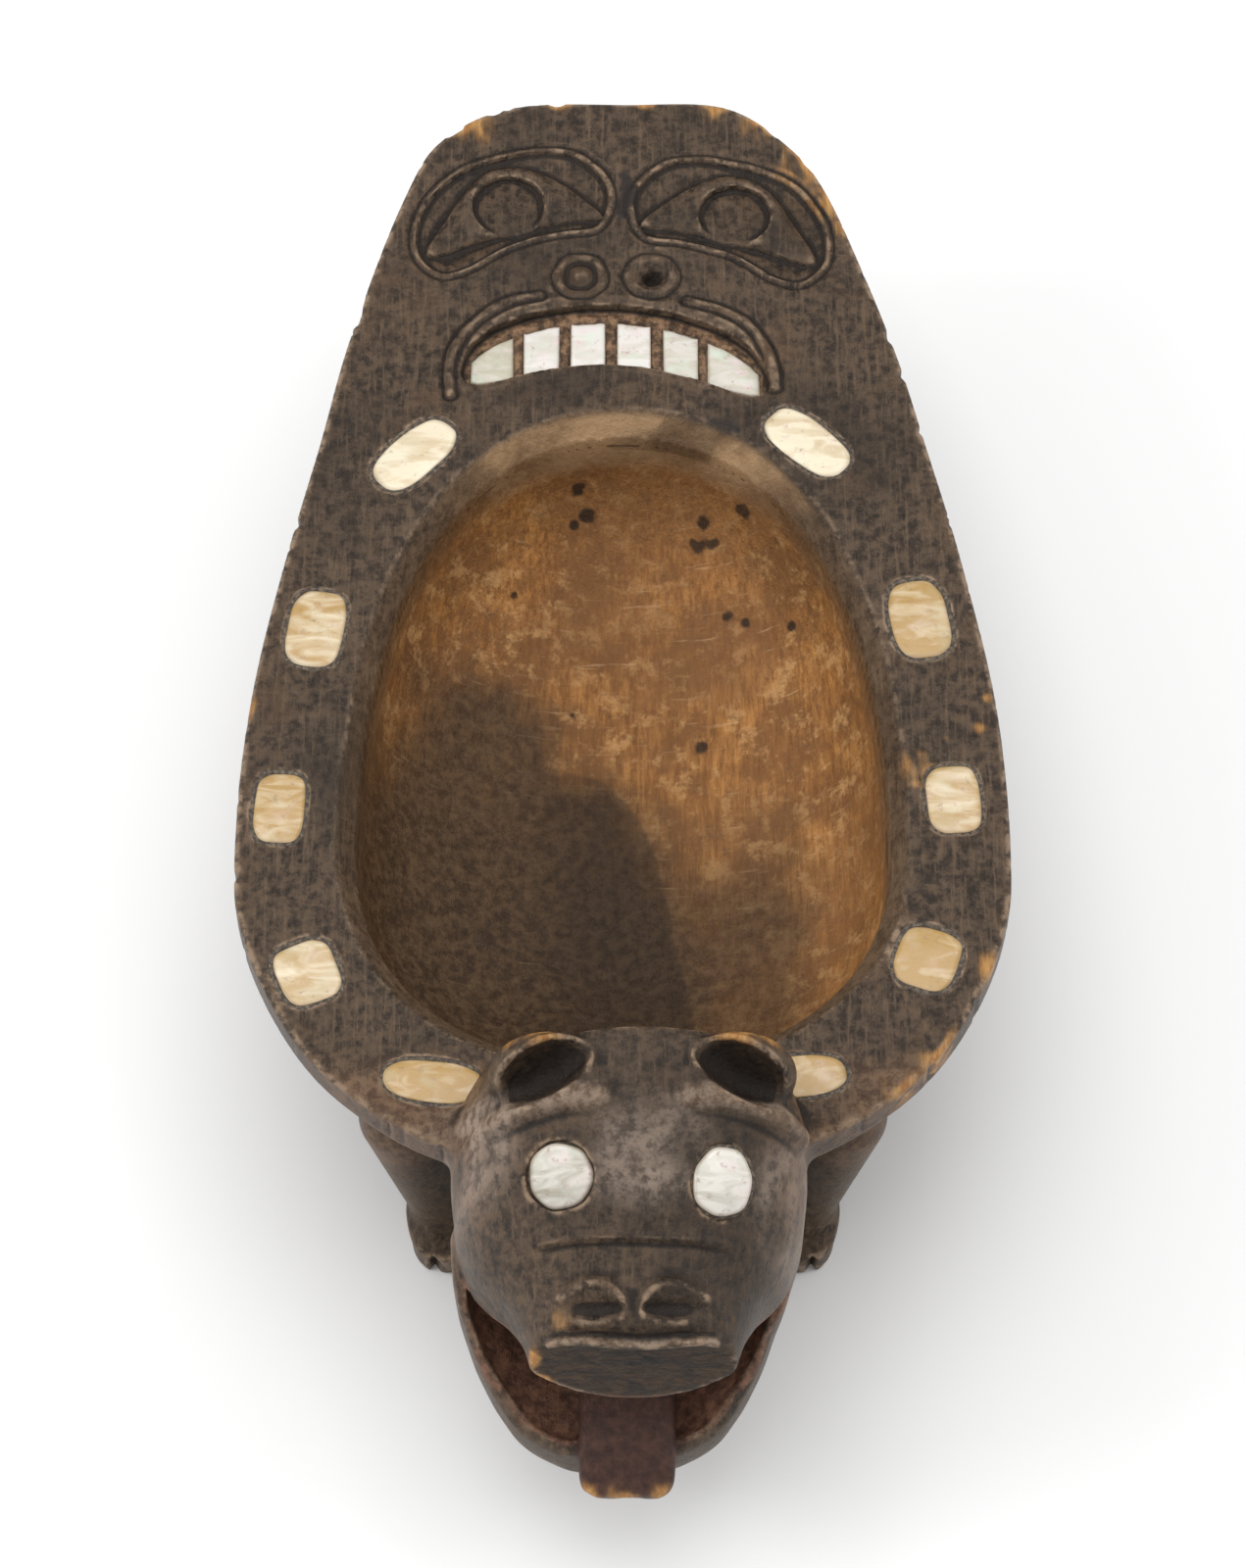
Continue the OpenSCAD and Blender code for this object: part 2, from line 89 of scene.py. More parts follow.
# The middle line of each lip strip beside the carved mouth, from the upper end to the lower.
LIP_STRIPS = [
    [(-23, 133), (-31, 131), (-39, 125.5), (-45, 118), (-47.5, 109), (-47, 100)],
    [(18, 131), (26, 128.5), (34, 123.5), (39, 115.5), (41, 108), (41.5, 102)],
]
MOUTH_X, MOUTH_HALF_W = -2.2, 42.0
TOOTH_SPANS = [(-41.6, -30), (-27.2, -17.4), (-14.3, -4.9), (-1.6, 7.6), (11, 20.5), (23.1, 37.2)]
TOOTH_TONES = [0.9, 0.15, 0.0, 0.2, 0.5, 0.6]
# Rim inlays from the tail to the head: x, y, length, width, turn in degrees, squareness.
RIM_INLAYS = {
    "left": [(-56.3, 80, 27, 14, 47, 2.8), (-81.2, 24.6, 24, 15.5, 82, 3.2), (-88.8, -30, 21, 13.5, 87, 3.6),
             (-80, -78, 18, 16, 112, 3.4), (-47.5, -108.8, 26, 12, -7, 2.4)],
    "right": [(49.8, 84, 27, 14, -43, 2.8), (78.5, 27.6, 24.5, 16, 99, 3), (85.6, -27.4, 20.5, 14.5, 94, 3.4),
              (77.3, -74, 18, 16.5, 70, 3.2), (43.5, -107.4, 26, 12, 6, 2.4)],
}
# How far each rim inlay has yellowed, in the same order.
INLAY_TONES = {"left": (0.1, 0.65, 0.9, 0.5, 1.0), "right": (0.1, 0.95, 0.6, 1.0, 1.0)}
# The head's eyes: middle, half width and half length, and the side that the disc leans to.
EYES = {"left": ((-15.0, -144.0), (8.0, 8.0), -1), "right": ((24.1, -145.6), (7.3, 8.4), 1)}
EYE_Z, EYE_PITCH, EYE_ROLL = RIM_Z + CROWN - 14, 24, 15

# Head and neck: y, half width, top, widest level and bottom above the rim, squareness.
HEAD_STATIONS = [
    (-105.5, 38, 28, -12, -60, 2.0), (-109, 40, 32.5, -12, -61, 2.0), (-113, 42, 34, -12, -62, 2.05),
    (-122, 44.5, 32.5, -12, -62, 2.25), (-134.5, 44.5, 28, -13, -62, 2.3), (-148, 43, 22.5, -15, -62, 2.4),
    (-160, 39, 17, -16, -62, 2.6), (-170, 31, 14, -12, -40, 2.8), (-180, 26.5, 11, -8, -26, 3),
    (-188, 24, 7, -8, -20, 3),
]
# Lower jaw: y, half width, top, widest level and bottom above the rim.
JAW_STATIONS = [
    (-140, 42.5, -18, -24, -62), (-150, 42, -19, -25, -63), (-158, 40.5, -21.5, -27, -64),
    (-168, 36.5, -30.5, -36, -64.5), (-176, 32, -37, -42, -64), (-184, 26.3, -41, -45, -62.5),
    (-187.5, 21.5, -42.5, -46.5, -61), (-190.5, 14, -44, -48, -59),
]
# The hollow of the mouth behind the lower lip: y, half width, top, middle and bottom above the rim.
MOUTH_STATIONS = [
    (-139, 34.5, -17, -22, -45), (-150, 38.2, -17, -23, -47), (-158, 38, -17, -24, -47.5),
    (-168, 34.4, -16, -30, -48), (-176, 30, -16, -33, -48), (-184, 24.2, -16, -37, -48),
    (-187.3, 17, -18, -39, -46.5),
]
# The tongue: y, half width, top, middle and bottom above the rim.
TONGUE_STATIONS = [
    (-138, 9.6, -40, -45, -50), (-160, 11.4, -37, -43, -50), (-178, 12, -35.5, -43, -50),
    (-185, 12, -36.5, -43, -49),
    (-191, 12.2, -39.5, -44, -48.5), (-196, 12, -43, -46.5, -50), (-199, 11.2, -45.5, -48, -51),
    (-200.4, 8, -47, -49, -51),
]
# The brow, the fold inside the ear and the nostril's crest on the +X side, from the line between the ears
# or the middle of the snout.
BROW = [(11.5, -127, 28.3), (20, -127, 27.2), (28, -128, 23), (34.5, -128.8, 16.3), (38, -129, 9)]
EAR_FOLD = [(17.5, -116.5, 31.8), (14.5, -119.5, 31.4), (10.5, -125, 29.4)]
NOSTRIL_ARC = [(2.5, -177), (3.5, -173), (9.5, -170.3), (17.5, -173)]
# The gap between the jaws, seen from the side: y and height above the rim.
GAPE = [(-157, -18.5), (-178, -15.5), (-215, -15), (-215, -43), (-188, -42), (-172, -36), (-157, -21)]


# ---------------------------------------------------------------- noise and blending
RNG = np.random.default_rng(11)
LATTICE = (RNG.random((32, 32, 32)) * 2 - 1).astype(np.float32)


def noise(x, y, z, size, seed=0):
    """Smooth noise from -1 to 1, with lumps about `size` mm apart."""
    cells, shares = [], []
    for v, shift in ((x, 3.17 * seed), (y, 5.71 * seed), (z, 9.37 * seed)):
        u = np.asarray(v, dtype=np.float32) / size + np.float32(shift + 64)
        low = np.floor(u)
        t = u - low
        cells.append(low.astype(np.int32))
        shares.append(t * t * (3 - 2 * t))
    total = 0
    for corner in range(8):
        steps = (corner & 1, corner >> 1 & 1, corner >> 2)
        value = LATTICE[tuple((c + s) % 32 for c, s in zip(cells, steps))]
        for share, step in zip(shares, steps):
            value = value * (share if step else 1 - share)
        total = total + value
    return total


def rough(x, y, z, size, seed=0):
    """Two octaves of noise."""
    return 0.7 * noise(x, y, z, size, seed) + 0.3 * noise(x, y, z, size * 0.45, seed + 5)


def smooth_min(a, b, k):
    h = np.clip(0.5 + 0.5 * (b - a) / k, 0, 1)
    return b + (a - b) * h - k * h * (1 - h)


def smooth_max(a, b, k):
    return -smooth_min(-a, -b, k)


def smoothstep(low, high, v):
    t = np.clip((v - low) / (high - low), 0, 1)
    return t * t * (3 - 2 * t)


def ridge(distance, width):
    """1 on a line, falling smoothly to 0 about two widths away."""
    return np.exp(-np.square(distance / width))


# ---------------------------------------------------------------- outlines
def curve_point(a, b, c, d, t):
    bend = (2 * a - 5 * b + 4 * c - d) * t * t
    return 0.5 * (2 * b + (c - a) * t + bend + (3 * b - a - 3 * c + d) * t ** 3)


def closed_curve(points, steps=6):
    p = np.array(points, dtype=float)
    n = len(p)
    return np.array([
        curve_point(p[i - 1], p[i], p[(i + 1) % n], p[(i + 2) % n], s / steps)
        for i in range(n) for s in range(steps)
    ])


def open_curve(points, steps=6):
    p = np.array(points, dtype=float)
    n = len(p) - 1
    line = [
        curve_point(p[max(i - 1, 0)], p[i], p[i + 1], p[min(i + 2, n)], s / steps)
        for i in range(n) for s in range(steps)
    ]
    return np.array(line + [p[n]])


def line_distance(x, y, points, closed=False):
    """Distance from every x, y to a line of points."""
    ends = np.roll(points, -1, axis=0) if closed else points[1:]
    best = np.full(np.broadcast(x, y).shape, 1e9, dtype=np.float32)
    for (ax, ay), (bx, by) in zip(points, ends):
        dx, dy = bx - ax, by - ay
        t = np.clip(((x - ax) * dx + (y - ay) * dy) / (dx * dx + dy * dy), 0, 1)
        np.minimum(best, np.square(x - ax - t * dx) + np.square(y - ay - t * dy), out=best)
    return np.sqrt(best)


def inside_distance(x, y, points):
    """Distance to a closed outline, positive inside it."""
    inside = np.zeros(np.broadcast(x, y).shape, dtype=bool)
    for (ax, ay), (bx, by) in zip(points, np.roll(points, -1, axis=0)):
        if ay != by:
            crosses = (ay > y) != (by > y)
            inside ^= crosses & (x < ax + (y - ay) * (bx - ax) / (by - ay))
    return np.where(inside, 1, -1) * line_distance(x, y, points, closed=True)


def super_ellipse(half_l, half_w, power, count=64):
    t = np.linspace(0, 2 * math.pi, count, endpoint=False)
    c, s = np.cos(t), np.sin(t)
    along = half_l * np.sign(c) * abs(c) ** (2 / power)
    across = half_w * np.sign(s) * abs(s) ** (2 / power)
    return np.stack([along, across], axis=1)


def turned(points, degrees, middle):
    a = math.radians(degrees)
    turn = np.array([[math.cos(a), math.sin(a)], [-math.sin(a), math.cos(a)]])
    return points @ turn + np.array(middle)


RIM = closed_curve(RIM_OUTLINE)


def mouth_middle(x):
    """The middle line of the mouth carved in the tail board."""
    return 118.9 - 0.0076 * (x + 3) ** 2 - 0.04 * (x + 3)


def mouth_arch(x0, x1, above, below, half_w=MOUTH_HALF_W, steps=24, power=8):
    """The stretch of the carved mouth from x0 to x1, as an outline."""
    x = x0 + (x1 - x0) * (1 - np.cos(np.linspace(0, math.pi, steps + 1))) / 2
    share = np.sqrt(np.clip(1 - ((x - MOUTH_X) / half_w) ** power, 0.006, 1))
    upper = np.stack([x, mouth_middle(x) + above * share], axis=1)
    lower = np.stack([x, mouth_middle(x) - below * share], axis=1)
    return np.concatenate([upper, lower[::-1]])


MOUTH = mouth_arch(MOUTH_X - MOUTH_HALF_W, MOUTH_X + MOUTH_HALF_W, 10.6, 9)
TEETH = [mouth_arch(a, b, 6.2, 8.4, MOUTH_HALF_W - 1, 8, 6) for a, b in TOOTH_SPANS]
INLAYS = {
    (side, k + 1): turned(super_ellipse(length / 2, width / 2, power), turn, (x, y))
    for side, rows in RIM_INLAYS.items()
    for k, (x, y, length, width, turn, power) in enumerate(rows)
}


# ---------------------------------------------------------------- the vessel, as heights over x, y
def hollow_share(x, y, inset):
    """How far out a point lies in the egg-shaped hollow: 1 on its outline."""
    reach = np.where(y > HOLLOW_Y, HOLLOW_FAR, HOLLOW_NEAR) - inset
    u = np.abs(x) / (HOLLOW_A - inset)
    v = np.abs(y - HOLLOW_Y) / reach
    return (u ** HOLLOW_POWER + v ** HOLLOW_POWER) ** (1 / HOLLOW_POWER)


def hollow_inset(x, y):
    """Distance inward from the hollow's outline."""
    reach = np.where(y > HOLLOW_Y, HOLLOW_FAR, HOLLOW_NEAR)
    u, v = np.abs(x) / HOLLOW_A, np.abs(y - HOLLOW_Y) / reach
    g = np.maximum(hollow_share(x, y, 0), 0.3)
    p = 2 * HOLLOW_POWER - 2
    slope = np.sqrt((u / g) ** p / HOLLOW_A ** 2 + (v / g) ** p / reach ** 2)
    return (1 - g) / np.maximum(slope, 0.004)


def hollow_floor(x, y):
    """Height of the hollow's surface; it rises steeply outside the hollow."""
    d = hollow_inset(x, y) + 0.5 * noise(x, y, 0, 22, 3)
    lip = RIM_Z - LIP_H * smoothstep(-0.2, 1.15, d / LIP_W) - 0.6 * np.clip(d, 0, LIP_W) / LIP_W
    lip = np.where(d < 0, RIM_Z - d, lip)
    s = hollow_share(x, y, LIP_W - 0.8)
    wall_top = RIM_Z - LIP_H - 1
    depth = HOLLOW_DEPTH - LIP_H - 1
    bowl = wall_top - depth * (1 - np.clip(s, 0, 1) ** 2.4) ** (1 / 2.4)
    bowl = np.where(s > 1, wall_top + (s - 1) * 220, bowl)
    bowl = bowl + smoothstep(1, 0.85, s) * (0.45 * noise(x, y, 0, 26, 1) + 0.12 * noise(x, y, 0, 7, 2))
    return smooth_min(lip, bowl, 0.8)


def keel(y):
    return BELLY_Z + 48 * (np.maximum(y - 40, 0) / 160) ** 2 + 16 * (np.maximum(-70 - y, 0) / 66) ** 2


def underside(x, y, edge):
    """Height of the hull's underside: steep in from the rim's band, flat at the keel."""
    s = np.clip(edge / 76, 0, 1)
    drop = (1 - (1 - s) ** 1.4) ** (1 / 1.4)
    top = RIM_Z - BAND_H
    return top + (keel(y) - top) * drop + 0.35 * noise(x, y, 0, 16, 8)


def window(x, y, outline, margin):
    """The slices of the grid round an outline."""
    low, high = outline.min(axis=0) - margin, outline.max(axis=0) + margin
    i = np.searchsorted(x[:, 0], [low[0], high[0]])
    j = np.searchsorted(y[0], [low[1], high[1]])
    return slice(*i), slice(*j)


def face_relief(x, y):
    """Depth of the face carved in the tail board, and how far each place is worked."""
    depth = np.zeros(np.broadcast(x, y).shape, dtype=np.float32)
    for side, middle in zip((-1, 1), OVOID_MIDDLES):
        ovoid = closed_curve(OVOID) * [side, 1] + middle
        lid = closed_curve(LID) * [side, 1] + middle
        w = window(x, y, ovoid, 8)
        px, py = x[w[0]], y[:, w[1]]
        d = inside_distance(px, py, ovoid) + 0.25 * noise(px, py, 0, 6, 12)
        dl = inside_distance(px, py, lid) + 0.25 * noise(px, py, 0, 6, 13)
        iris = np.hypot(px - middle[0] - side * IRIS_AT[0], py - middle[1] - IRIS_AT[1])
        iris = iris + 0.2 * noise(px, py, 0, 5, 14)
        cut = 0.8 * ridge(d, 0.6)
        socket = smoothstep(1.7, 2.8, d) * (1.5 + 1.0 * smoothstep(2.8, 8, d))
        lid_rise = smoothstep(-0.4, 0.5, dl) * (1.1 + 1.3 * (1 - np.exp(-np.maximum(dl, 0) / 3.5)))
        lid_rise = lid_rise + 0.8 * ridge(iris - IRIS_R - 1.4, 2.4) * smoothstep(0, 2, dl)
        socket = np.maximum(socket - lid_rise, -0.1)
        inner = smoothstep(IRIS_R + 0.3, IRIS_R - 0.6, iris)
        tilt = 0.05 * (py - middle[1])
        socket = socket * (1 - inner) + inner * (1.35 + tilt + 0.25 * noise(px, py, 0, 7, 15))
        cut = cut + socket
        depth[w] += cut
    for (nx, ny), nub in zip(NOSTRIL_AT, (True, False)):
        r = np.hypot(x - nx, y - ny) + 0.35 * noise(x, y, 0, 3.2, 16)
        depth += 0.75 * ridge(r - NOSTRIL_R, 0.6)
        if nub:
            depth += 1.0 * smoothstep(5.6, 4.4, r) - 1.5 * smoothstep(4.6, 0.5, r)
        else:
            depth += 0.9 * smoothstep(5.4, 3.8, r) + 4.2 * smoothstep(3.9, 0.2, r)
    for strip in LIP_STRIPS:
        line = open_curve(strip)
        w = window(x, y, line, 8)
        px, py = x[w[0]], y[:, w[1]]
        d = line_distance(px, py, line) + 0.25 * noise(px, py, 0, 6, 17)
        depth[w] += 0.85 * ridge(d - 1.9, 0.65) - 0.35 * ridge(d, 1.3)
    w = window(x, y, MOUTH, 8)
    px, py = x[w[0]], y[:, w[1]]
    d = inside_distance(px, py, MOUTH) + 0.3 * noise(px, py, 0, 5, 18)
    mouth = MOUTH_DEPTH * smoothstep(-0.4, 0.7, d) - 0.45 * ridge(d + 2.6, 1.5)
    strips = smoothstep(1.2, 2.4, d + 0.2)
    for tooth in TEETH:
        dt = inside_distance(px, py, tooth)
        mouth = mouth + 1.2 * smoothstep(-0.7, 0.1, dt)
    depth[w] += mouth - 0.5 * strips * smoothstep(-12, 0, py - mouth_middle(px))
    return depth


def board_height(x, y):
    """Height of the flat rim and the tail board, with their carving, pockets and dents."""
    z = RIM_Z + 0.22 * noise(x, y, 0, 30, 20) + 0.08 * noise(x, y, 0, 9, 21) - face_relief(x, y)
    for (side, k), outline in INLAYS.items():
        w = window(x, y, outline, 5)
        px, py = x[w[0]], y[:, w[1]]
        d = inside_distance(px, py, outline) + 0.3 * noise(px, py, 0, 2.4, 22 + k)
        z[w] -= 2.0 * smoothstep(-0.6, -0.05, d)
    return z.astype(np.float32)


def edge_chips(x, y):
    """How much is chipped and rubbed off the rim's edge."""
    chips = 0.9 * smoothstep(0.5, 0.85, noise(x, y, 0, 6, 30)) + 0.25 * noise(x, y, 0, 26, 31)
    return chips + 0.5 * smoothstep(0.55, 0.9, noise(x, y, 0, 2.6, 32))


# ---------------------------------------------------------------- head, tongue and legs
def stations_at(stations, y, soften):
    """The stations' values along y, eased over `soften` mm."""
    rows = np.array(stations, dtype=float)
    depth = -rows[:, 0]
    fine = np.arange(depth[0] - 12, depth[-1] + 12, 0.5)
    weights = np.exp(-np.square(np.arange(-20, 21) * 0.5 / soften))
    weights /= weights.sum()
    values = []
    for column in rows.T[1:]:
        table = np.interp(fine, depth, column)
        eased = np.convolve(np.pad(table, 20, mode="edge"), weights, mode="valid")
        values.append(np.interp(-y, fine, eased).astype(np.float32))
    return values


def section_distance(dx, dz, half_w, half_h, power):
    """Distance to an upright super-ellipse, negative inside."""
    u, v = np.abs(dx) / half_w, np.abs(dz) / half_h
    g = np.maximum((u ** power + v ** power) ** (1 / power), 0.2)
    p = 2 * power - 2
    slope = np.sqrt((u / g) ** p / half_w ** 2 + (v / g) ** p / half_h ** 2)
    return (g - 1) / np.maximum(slope, 0.01)


def loft(x, y, z, stations, middle_x, power=None, soften=2.0):
    values = stations_at(stations, y, soften)
    half_w, top, level, bottom = values[:4]
    dz = z - RIM_Z - level
    half_h = np.where(dz > 0, top - level, level - bottom)
    shape = section_distance(x - middle_x, dz, half_w, half_h, values[4] if power is None else power)
    ends = np.maximum(y - stations[0][0], stations[-1][0] - y)
    return smooth_max(shape, ends, 2.0)


def ellipsoid(x, y, z, middle, radii):
    p = [(v - m) / r for v, m, r in zip((x, y, z), middle, radii)]
    k0 = np.sqrt(sum(np.square(v) for v in p))
    k1 = np.sqrt(sum(np.square(v / r) for v, r in zip(p, radii)))
    return k0 * (k0 - 1) / np.maximum(k1, 1e-4)


def limb(x, y, z, a, b, radius_a, radius_b, flatten=1.0):
    """A tapered limb from a to b; flatten under 1 makes it narrow across x."""
    ab = np.subtract(b, a)
    t = np.clip(((x - a[0]) * ab[0] + (y - a[1]) * ab[1] + (z - a[2]) * ab[2]) / (ab @ ab), 0, 1)
    dx, dy, dz = ((v - m - t * s) for v, m, s in zip((x, y, z), a, ab))
    distance = np.sqrt(np.square(dx / flatten) + np.square(dy) + np.square(dz))
    return distance - (radius_a + t * (radius_b - radius_a))


def head_fold(x, y, z, line, side, radius):
    """A round fold of the head's skin along a line of points."""
    points = [(EARS_X + side * px, py, RIM_Z + pz) for px, py, pz in line]
    fold = 1e3
    for a, b in zip(points[:-1], points[1:]):
        fold = np.minimum(fold, limb(x, y, z, a, b, radius, radius))
    return fold


def gape(x, y, z):
    """Distance into the gap between the jaws; its ceiling arches up towards the sides of the snout."""
    arch = 0.0155 * np.square(np.clip(x - SNOUT_X, -26, 26)) * smoothstep(-163, -180, y)
    height = z - RIM_Z
    return inside_distance(y, height - arch * smoothstep(-30, -18, height), np.array(GAPE, dtype=float))


def mouth_inside(x, y, z):
    return loft(x, y, z, MOUTH_STATIONS, JAW_X, 2.2, 1.5)


def tongue(x, y, z):
    shape = loft(x, y, z, TONGUE_STATIONS, 1.0, 3.2, 1.2)
    return shape + 0.35 * smoothstep(-196, -200, y) * noise(x, y, z, 3, 40)


def eye_frame(x, y, z, side):
    """The place of a point in an eye disc's own frame."""
    (ex, ey), _, lean = EYES[side]
    roll, pitch = math.radians(EYE_ROLL * lean), math.radians(EYE_PITCH)
    dx, dy, dz = x - ex, y - ey, z - EYE_Z
    ux = dx * math.cos(roll) - dz * math.sin(roll)
    uz = dx * math.sin(roll) + dz * math.cos(roll)
    uy = dy * math.cos(pitch) + uz * math.sin(pitch)
    uz = -dy * math.sin(pitch) + uz * math.cos(pitch)
    return ux, uy, uz


def snout_relief(x, y, z, shape):
    """The bridge, the fold across the snout and the nostrils, carved on a plain head."""
    above = smoothstep(RIM_Z - 6, RIM_Z + 4, z)
    across = x - SNOUT_X
    fold_y = -159.8 - 0.0006 * across ** 2 + 0.3 * noise(x, 0, 0, 9, 42)
    near = smoothstep(27, 19, np.abs(across)) * above
    shape = shape + near * (1.0 * smoothstep(0.3, -1.0, y - fold_y) * smoothstep(-171, -165, y))
    shape = shape - 0.35 * near * ridge(y - fold_y - 0.5, 0.8)
    bridge = ridge(across - 1.5, 4.5) * smoothstep(-156, -146, y) * smoothstep(-128, -138, y)
    shape = shape + 0.9 * above * bridge
    for side in (-1, 1):
        arc = [(SNOUT_X + side * px, py) for px, py in NOSTRIL_ARC]
        crest = line_distance(x, y, open_curve(arc, 4))
        shape = shape - 1.5 * above * ridge(crest, 1.9)
        scoop = ellipsoid(x, y, z, (SNOUT_X + side * 11, -176.4, RIM_Z + 14), (9, 3.2, 3.8))
        shape = smooth_max(shape, -scoop, 0.8)
    return shape


def lip_roll(x, y, z):
    """The wavy roll along the top of the snout's flat end."""
    across = x - SNOUT_X
    wave = 1.3 * np.cos(0.19 * (across - 2)) + 0.05 * np.square(np.clip(np.abs(across) - 15, 0, 9))
    ends = [(SNOUT_X + px, -182.7, RIM_Z + 6.8) for px in (-20, 20)]
    return limb(x, y, z + wave, *ends, 1.1, 1.1)


def head(x, y, z):
    """Head, neck and jaws, carved, without the tongue."""
    to_ears = smoothstep(RIM_Z - 6, RIM_Z + 24, z) * smoothstep(-150, -125, y)
    middle = HEAD_X + (SNOUT_X - HEAD_X) * smoothstep(-158, -182, y) + (EARS_X - HEAD_X) * to_ears
    upper = loft(x, y, z, HEAD_STATIONS, middle)
    jaw = loft(x, y, z, JAW_STATIONS, JAW_X, 3.2)
    shape = smooth_min(upper, jaw, 2.0)
    for side in (-1, 1):
        ear = ellipsoid(x, y, z, (EARS_X + side * 23, -116, RIM_Z + 17.5), (15, 8.8, 16.5))
        shape = smooth_min(shape, ear, 1.6)
        shape = smooth_min(shape, head_fold(x, y, z, BROW, side, 3.2), 2.4)
        shape = smooth_min(shape, head_fold(x, y, z, EAR_FOLD, side, 1.7), 3.0)
    for side in (-1, 1):
        out = side * (x - EARS_X)
        lean = out - 24.5
        cup = ellipsoid(out, y + 0.25 * lean, z + 0.5 * lean, (24.5, -121, RIM_Z + 30.2), (12, 6.6, 9.6))
        rim = ridge(cup - 1.2, 1.2) * smoothstep(-124, -117, y)
        shape = smooth_max(shape - 0.7 * rim, -cup, 1.0)
    shape = snout_relief(x, y, z, shape)
    lean = math.radians(19)
    front = -(y + 184.3) * math.cos(lean) + (z - RIM_Z + 3) * math.sin(lean)
    cut = np.where(z > RIM_Z - 18, front, -5)
    shape = smooth_max(shape, np.minimum(cut, 8), 1.2)
    shape = smooth_min(shape, lip_roll(x, y, z), 2.2)
    shape = smooth_max(shape, gape(x, y, z), 1.0)
    shape = smooth_max(shape, -mouth_inside(x, y, z), 1.2)
    for side, (_, radii, _) in EYES.items():
        ux, uy, uz = eye_frame(x, y, z, side)
        r = np.hypot(ux / radii[0], uy / radii[1]) * radii[0]
        shape = shape + 0.9 * ridge(r, 12) * smoothstep(-12, -4, uz)
        pocket = np.maximum(r - radii[0] - 0.55 - 0.3 * noise(x, y, z, 3, 41), -1.9 - uz)
        shape = smooth_max(shape, -pocket, 0.7)
    return shape


def legs(x, y, z):
    shape = 1e3
    for leg_y, lean in ((-104, 4), (70, 6)):
        for side in (-1, 1):
            upper = limb(x, y, z, (side * 58, leg_y + lean, 60), (side * 49, leg_y, 16), 12, 8.5, 0.85)
            foot_x = side * 47
            sole = section_distance(x - foot_x, y - leg_y + 2, 9.5, 13, 2.6)
            foot = smooth_max(sole, np.abs(z - 5) - 5, 2.0)
            foot = np.where(z < 2, np.maximum(sole + 0.5, -z), foot)
            leg = smooth_min(upper, foot, 9.0)
            for toe in (-1, 1):
                cleft = np.abs(x - foot_x - toe * 3.2) + (y - leg_y + 15) * 0.6
                cleft = cleft + np.maximum(z - 8, 0) * 0.8
                leg = smooth_max(leg, 2.0 - cleft, 0.8)
            shape = np.minimum(shape, leg)
    return np.maximum(shape, -z)


# ---------------------------------------------------------------- the field on its grid
def grid_axis(low, high):
    return np.arange(low, high + VOXEL, VOXEL, dtype=np.float32)


def carving_field(gx, gy, gz):
    """Distance to the carving's surface on the whole grid, negative in the wood."""
    x, y = gx[:, None], gy[None, :]
    edge = inside_distance(x, y, RIM).astype(np.float32)
    board = board_height(x, y)
    under = underside(x, y, edge).astype(np.float32)
    floor = hollow_floor(x, y).astype(np.float32)
    worn_edge = edge - edge_chips(x, y) * smoothstep(8, 0, edge)

    def steepness(height):
        dx, dy = np.gradient(height, VOXEL)
        return np.sqrt(1 + np.clip(dx * dx + dy * dy, 0, 60))

    z = gz[None, None, :]
    field = smooth_max((z - board[..., None]) / steepness(board)[..., None], -worn_edge[..., None], 1.6)
    field = np.maximum(field, (under[..., None] - z) / steepness(under)[..., None])

    def part(function, low, high, blend):
        """Blend a part into the field, in its own stretch of the grid."""
        i, j, k = (slice(*np.searchsorted(axis, ends)) for axis, ends in zip((gx, gy, gz), zip(low, high)))
        values = function(gx[i, None, None], gy[None, j, None], gz[None, None, k])
        field[i, j, k] = smooth_min(field[i, j, k], values.astype(np.float32), blend)

    part(head, (-60, -204, 20), (64, -96, 140), 3.0)
    i, j = (slice(*np.searchsorted(axis, ends)) for axis, ends in ((gx, (-80, 80)), (gy, (-110, 100))))
    cut = (z - floor[i, j, None]) / steepness(floor[i, j])[..., None]
    field[i, j] = smooth_max(field[i, j], cut, 1.0)
    part(legs, (-80, -124, -3), (80, 100, 80), 6.0)
    part(tongue, (-16, -204, 40), (20, -134, 66), 1.0)
    return field


def carving_mesh():
    """Vertices in mm and quads of the carving."""
    axes = [grid_axis(-104, 104), grid_axis(-205, 204), grid_axis(-2.4, 133)]
    field = carving_field(*axes)
    grid = openvdb.FloatGrid(3.0)
    grid.copyFromArray(np.clip(field, -3, 3))
    points, _, quads = grid.convertToPolygons(0.0, 0.0)
    origin = np.array([axis[0] for axis in axes])
    return points * VOXEL + origin, quads


def new_object(name, points, faces, smooth=True):
    """A mesh object in metres from points in mm."""
    mesh = bpy.data.meshes.new(name)
    faces = np.asarray(faces, dtype=np.int32)
    mesh.vertices.add(len(points))
    mesh.vertices.foreach_set("co", (np.asarray(points, dtype=np.float32) * MM).ravel())
    mesh.loops.add(faces.size)
    mesh.loops.foreach_set("vertex_index", faces.ravel())
    mesh.polygons.add(len(faces))
    mesh.polygons.foreach_set("loop_start", np.arange(0, faces.size, faces.shape[1], dtype=np.int32))
    mesh.polygons.foreach_set("use_smooth", np.full(len(faces), smooth))
    mesh.update(calc_edges=True)
    mesh.validate()
    piece = bpy.data.objects.new(name, mesh)
    bpy.context.scene.collection.objects.link(piece)
    return piece


def store(piece, name, values):
    """Keep one value a vertex on a piece, for its material."""
    layer = piece.data.attributes.new(name, "FLOAT", "POINT")
    layer.data.foreach_set("value", np.asarray(values, dtype=np.float32))


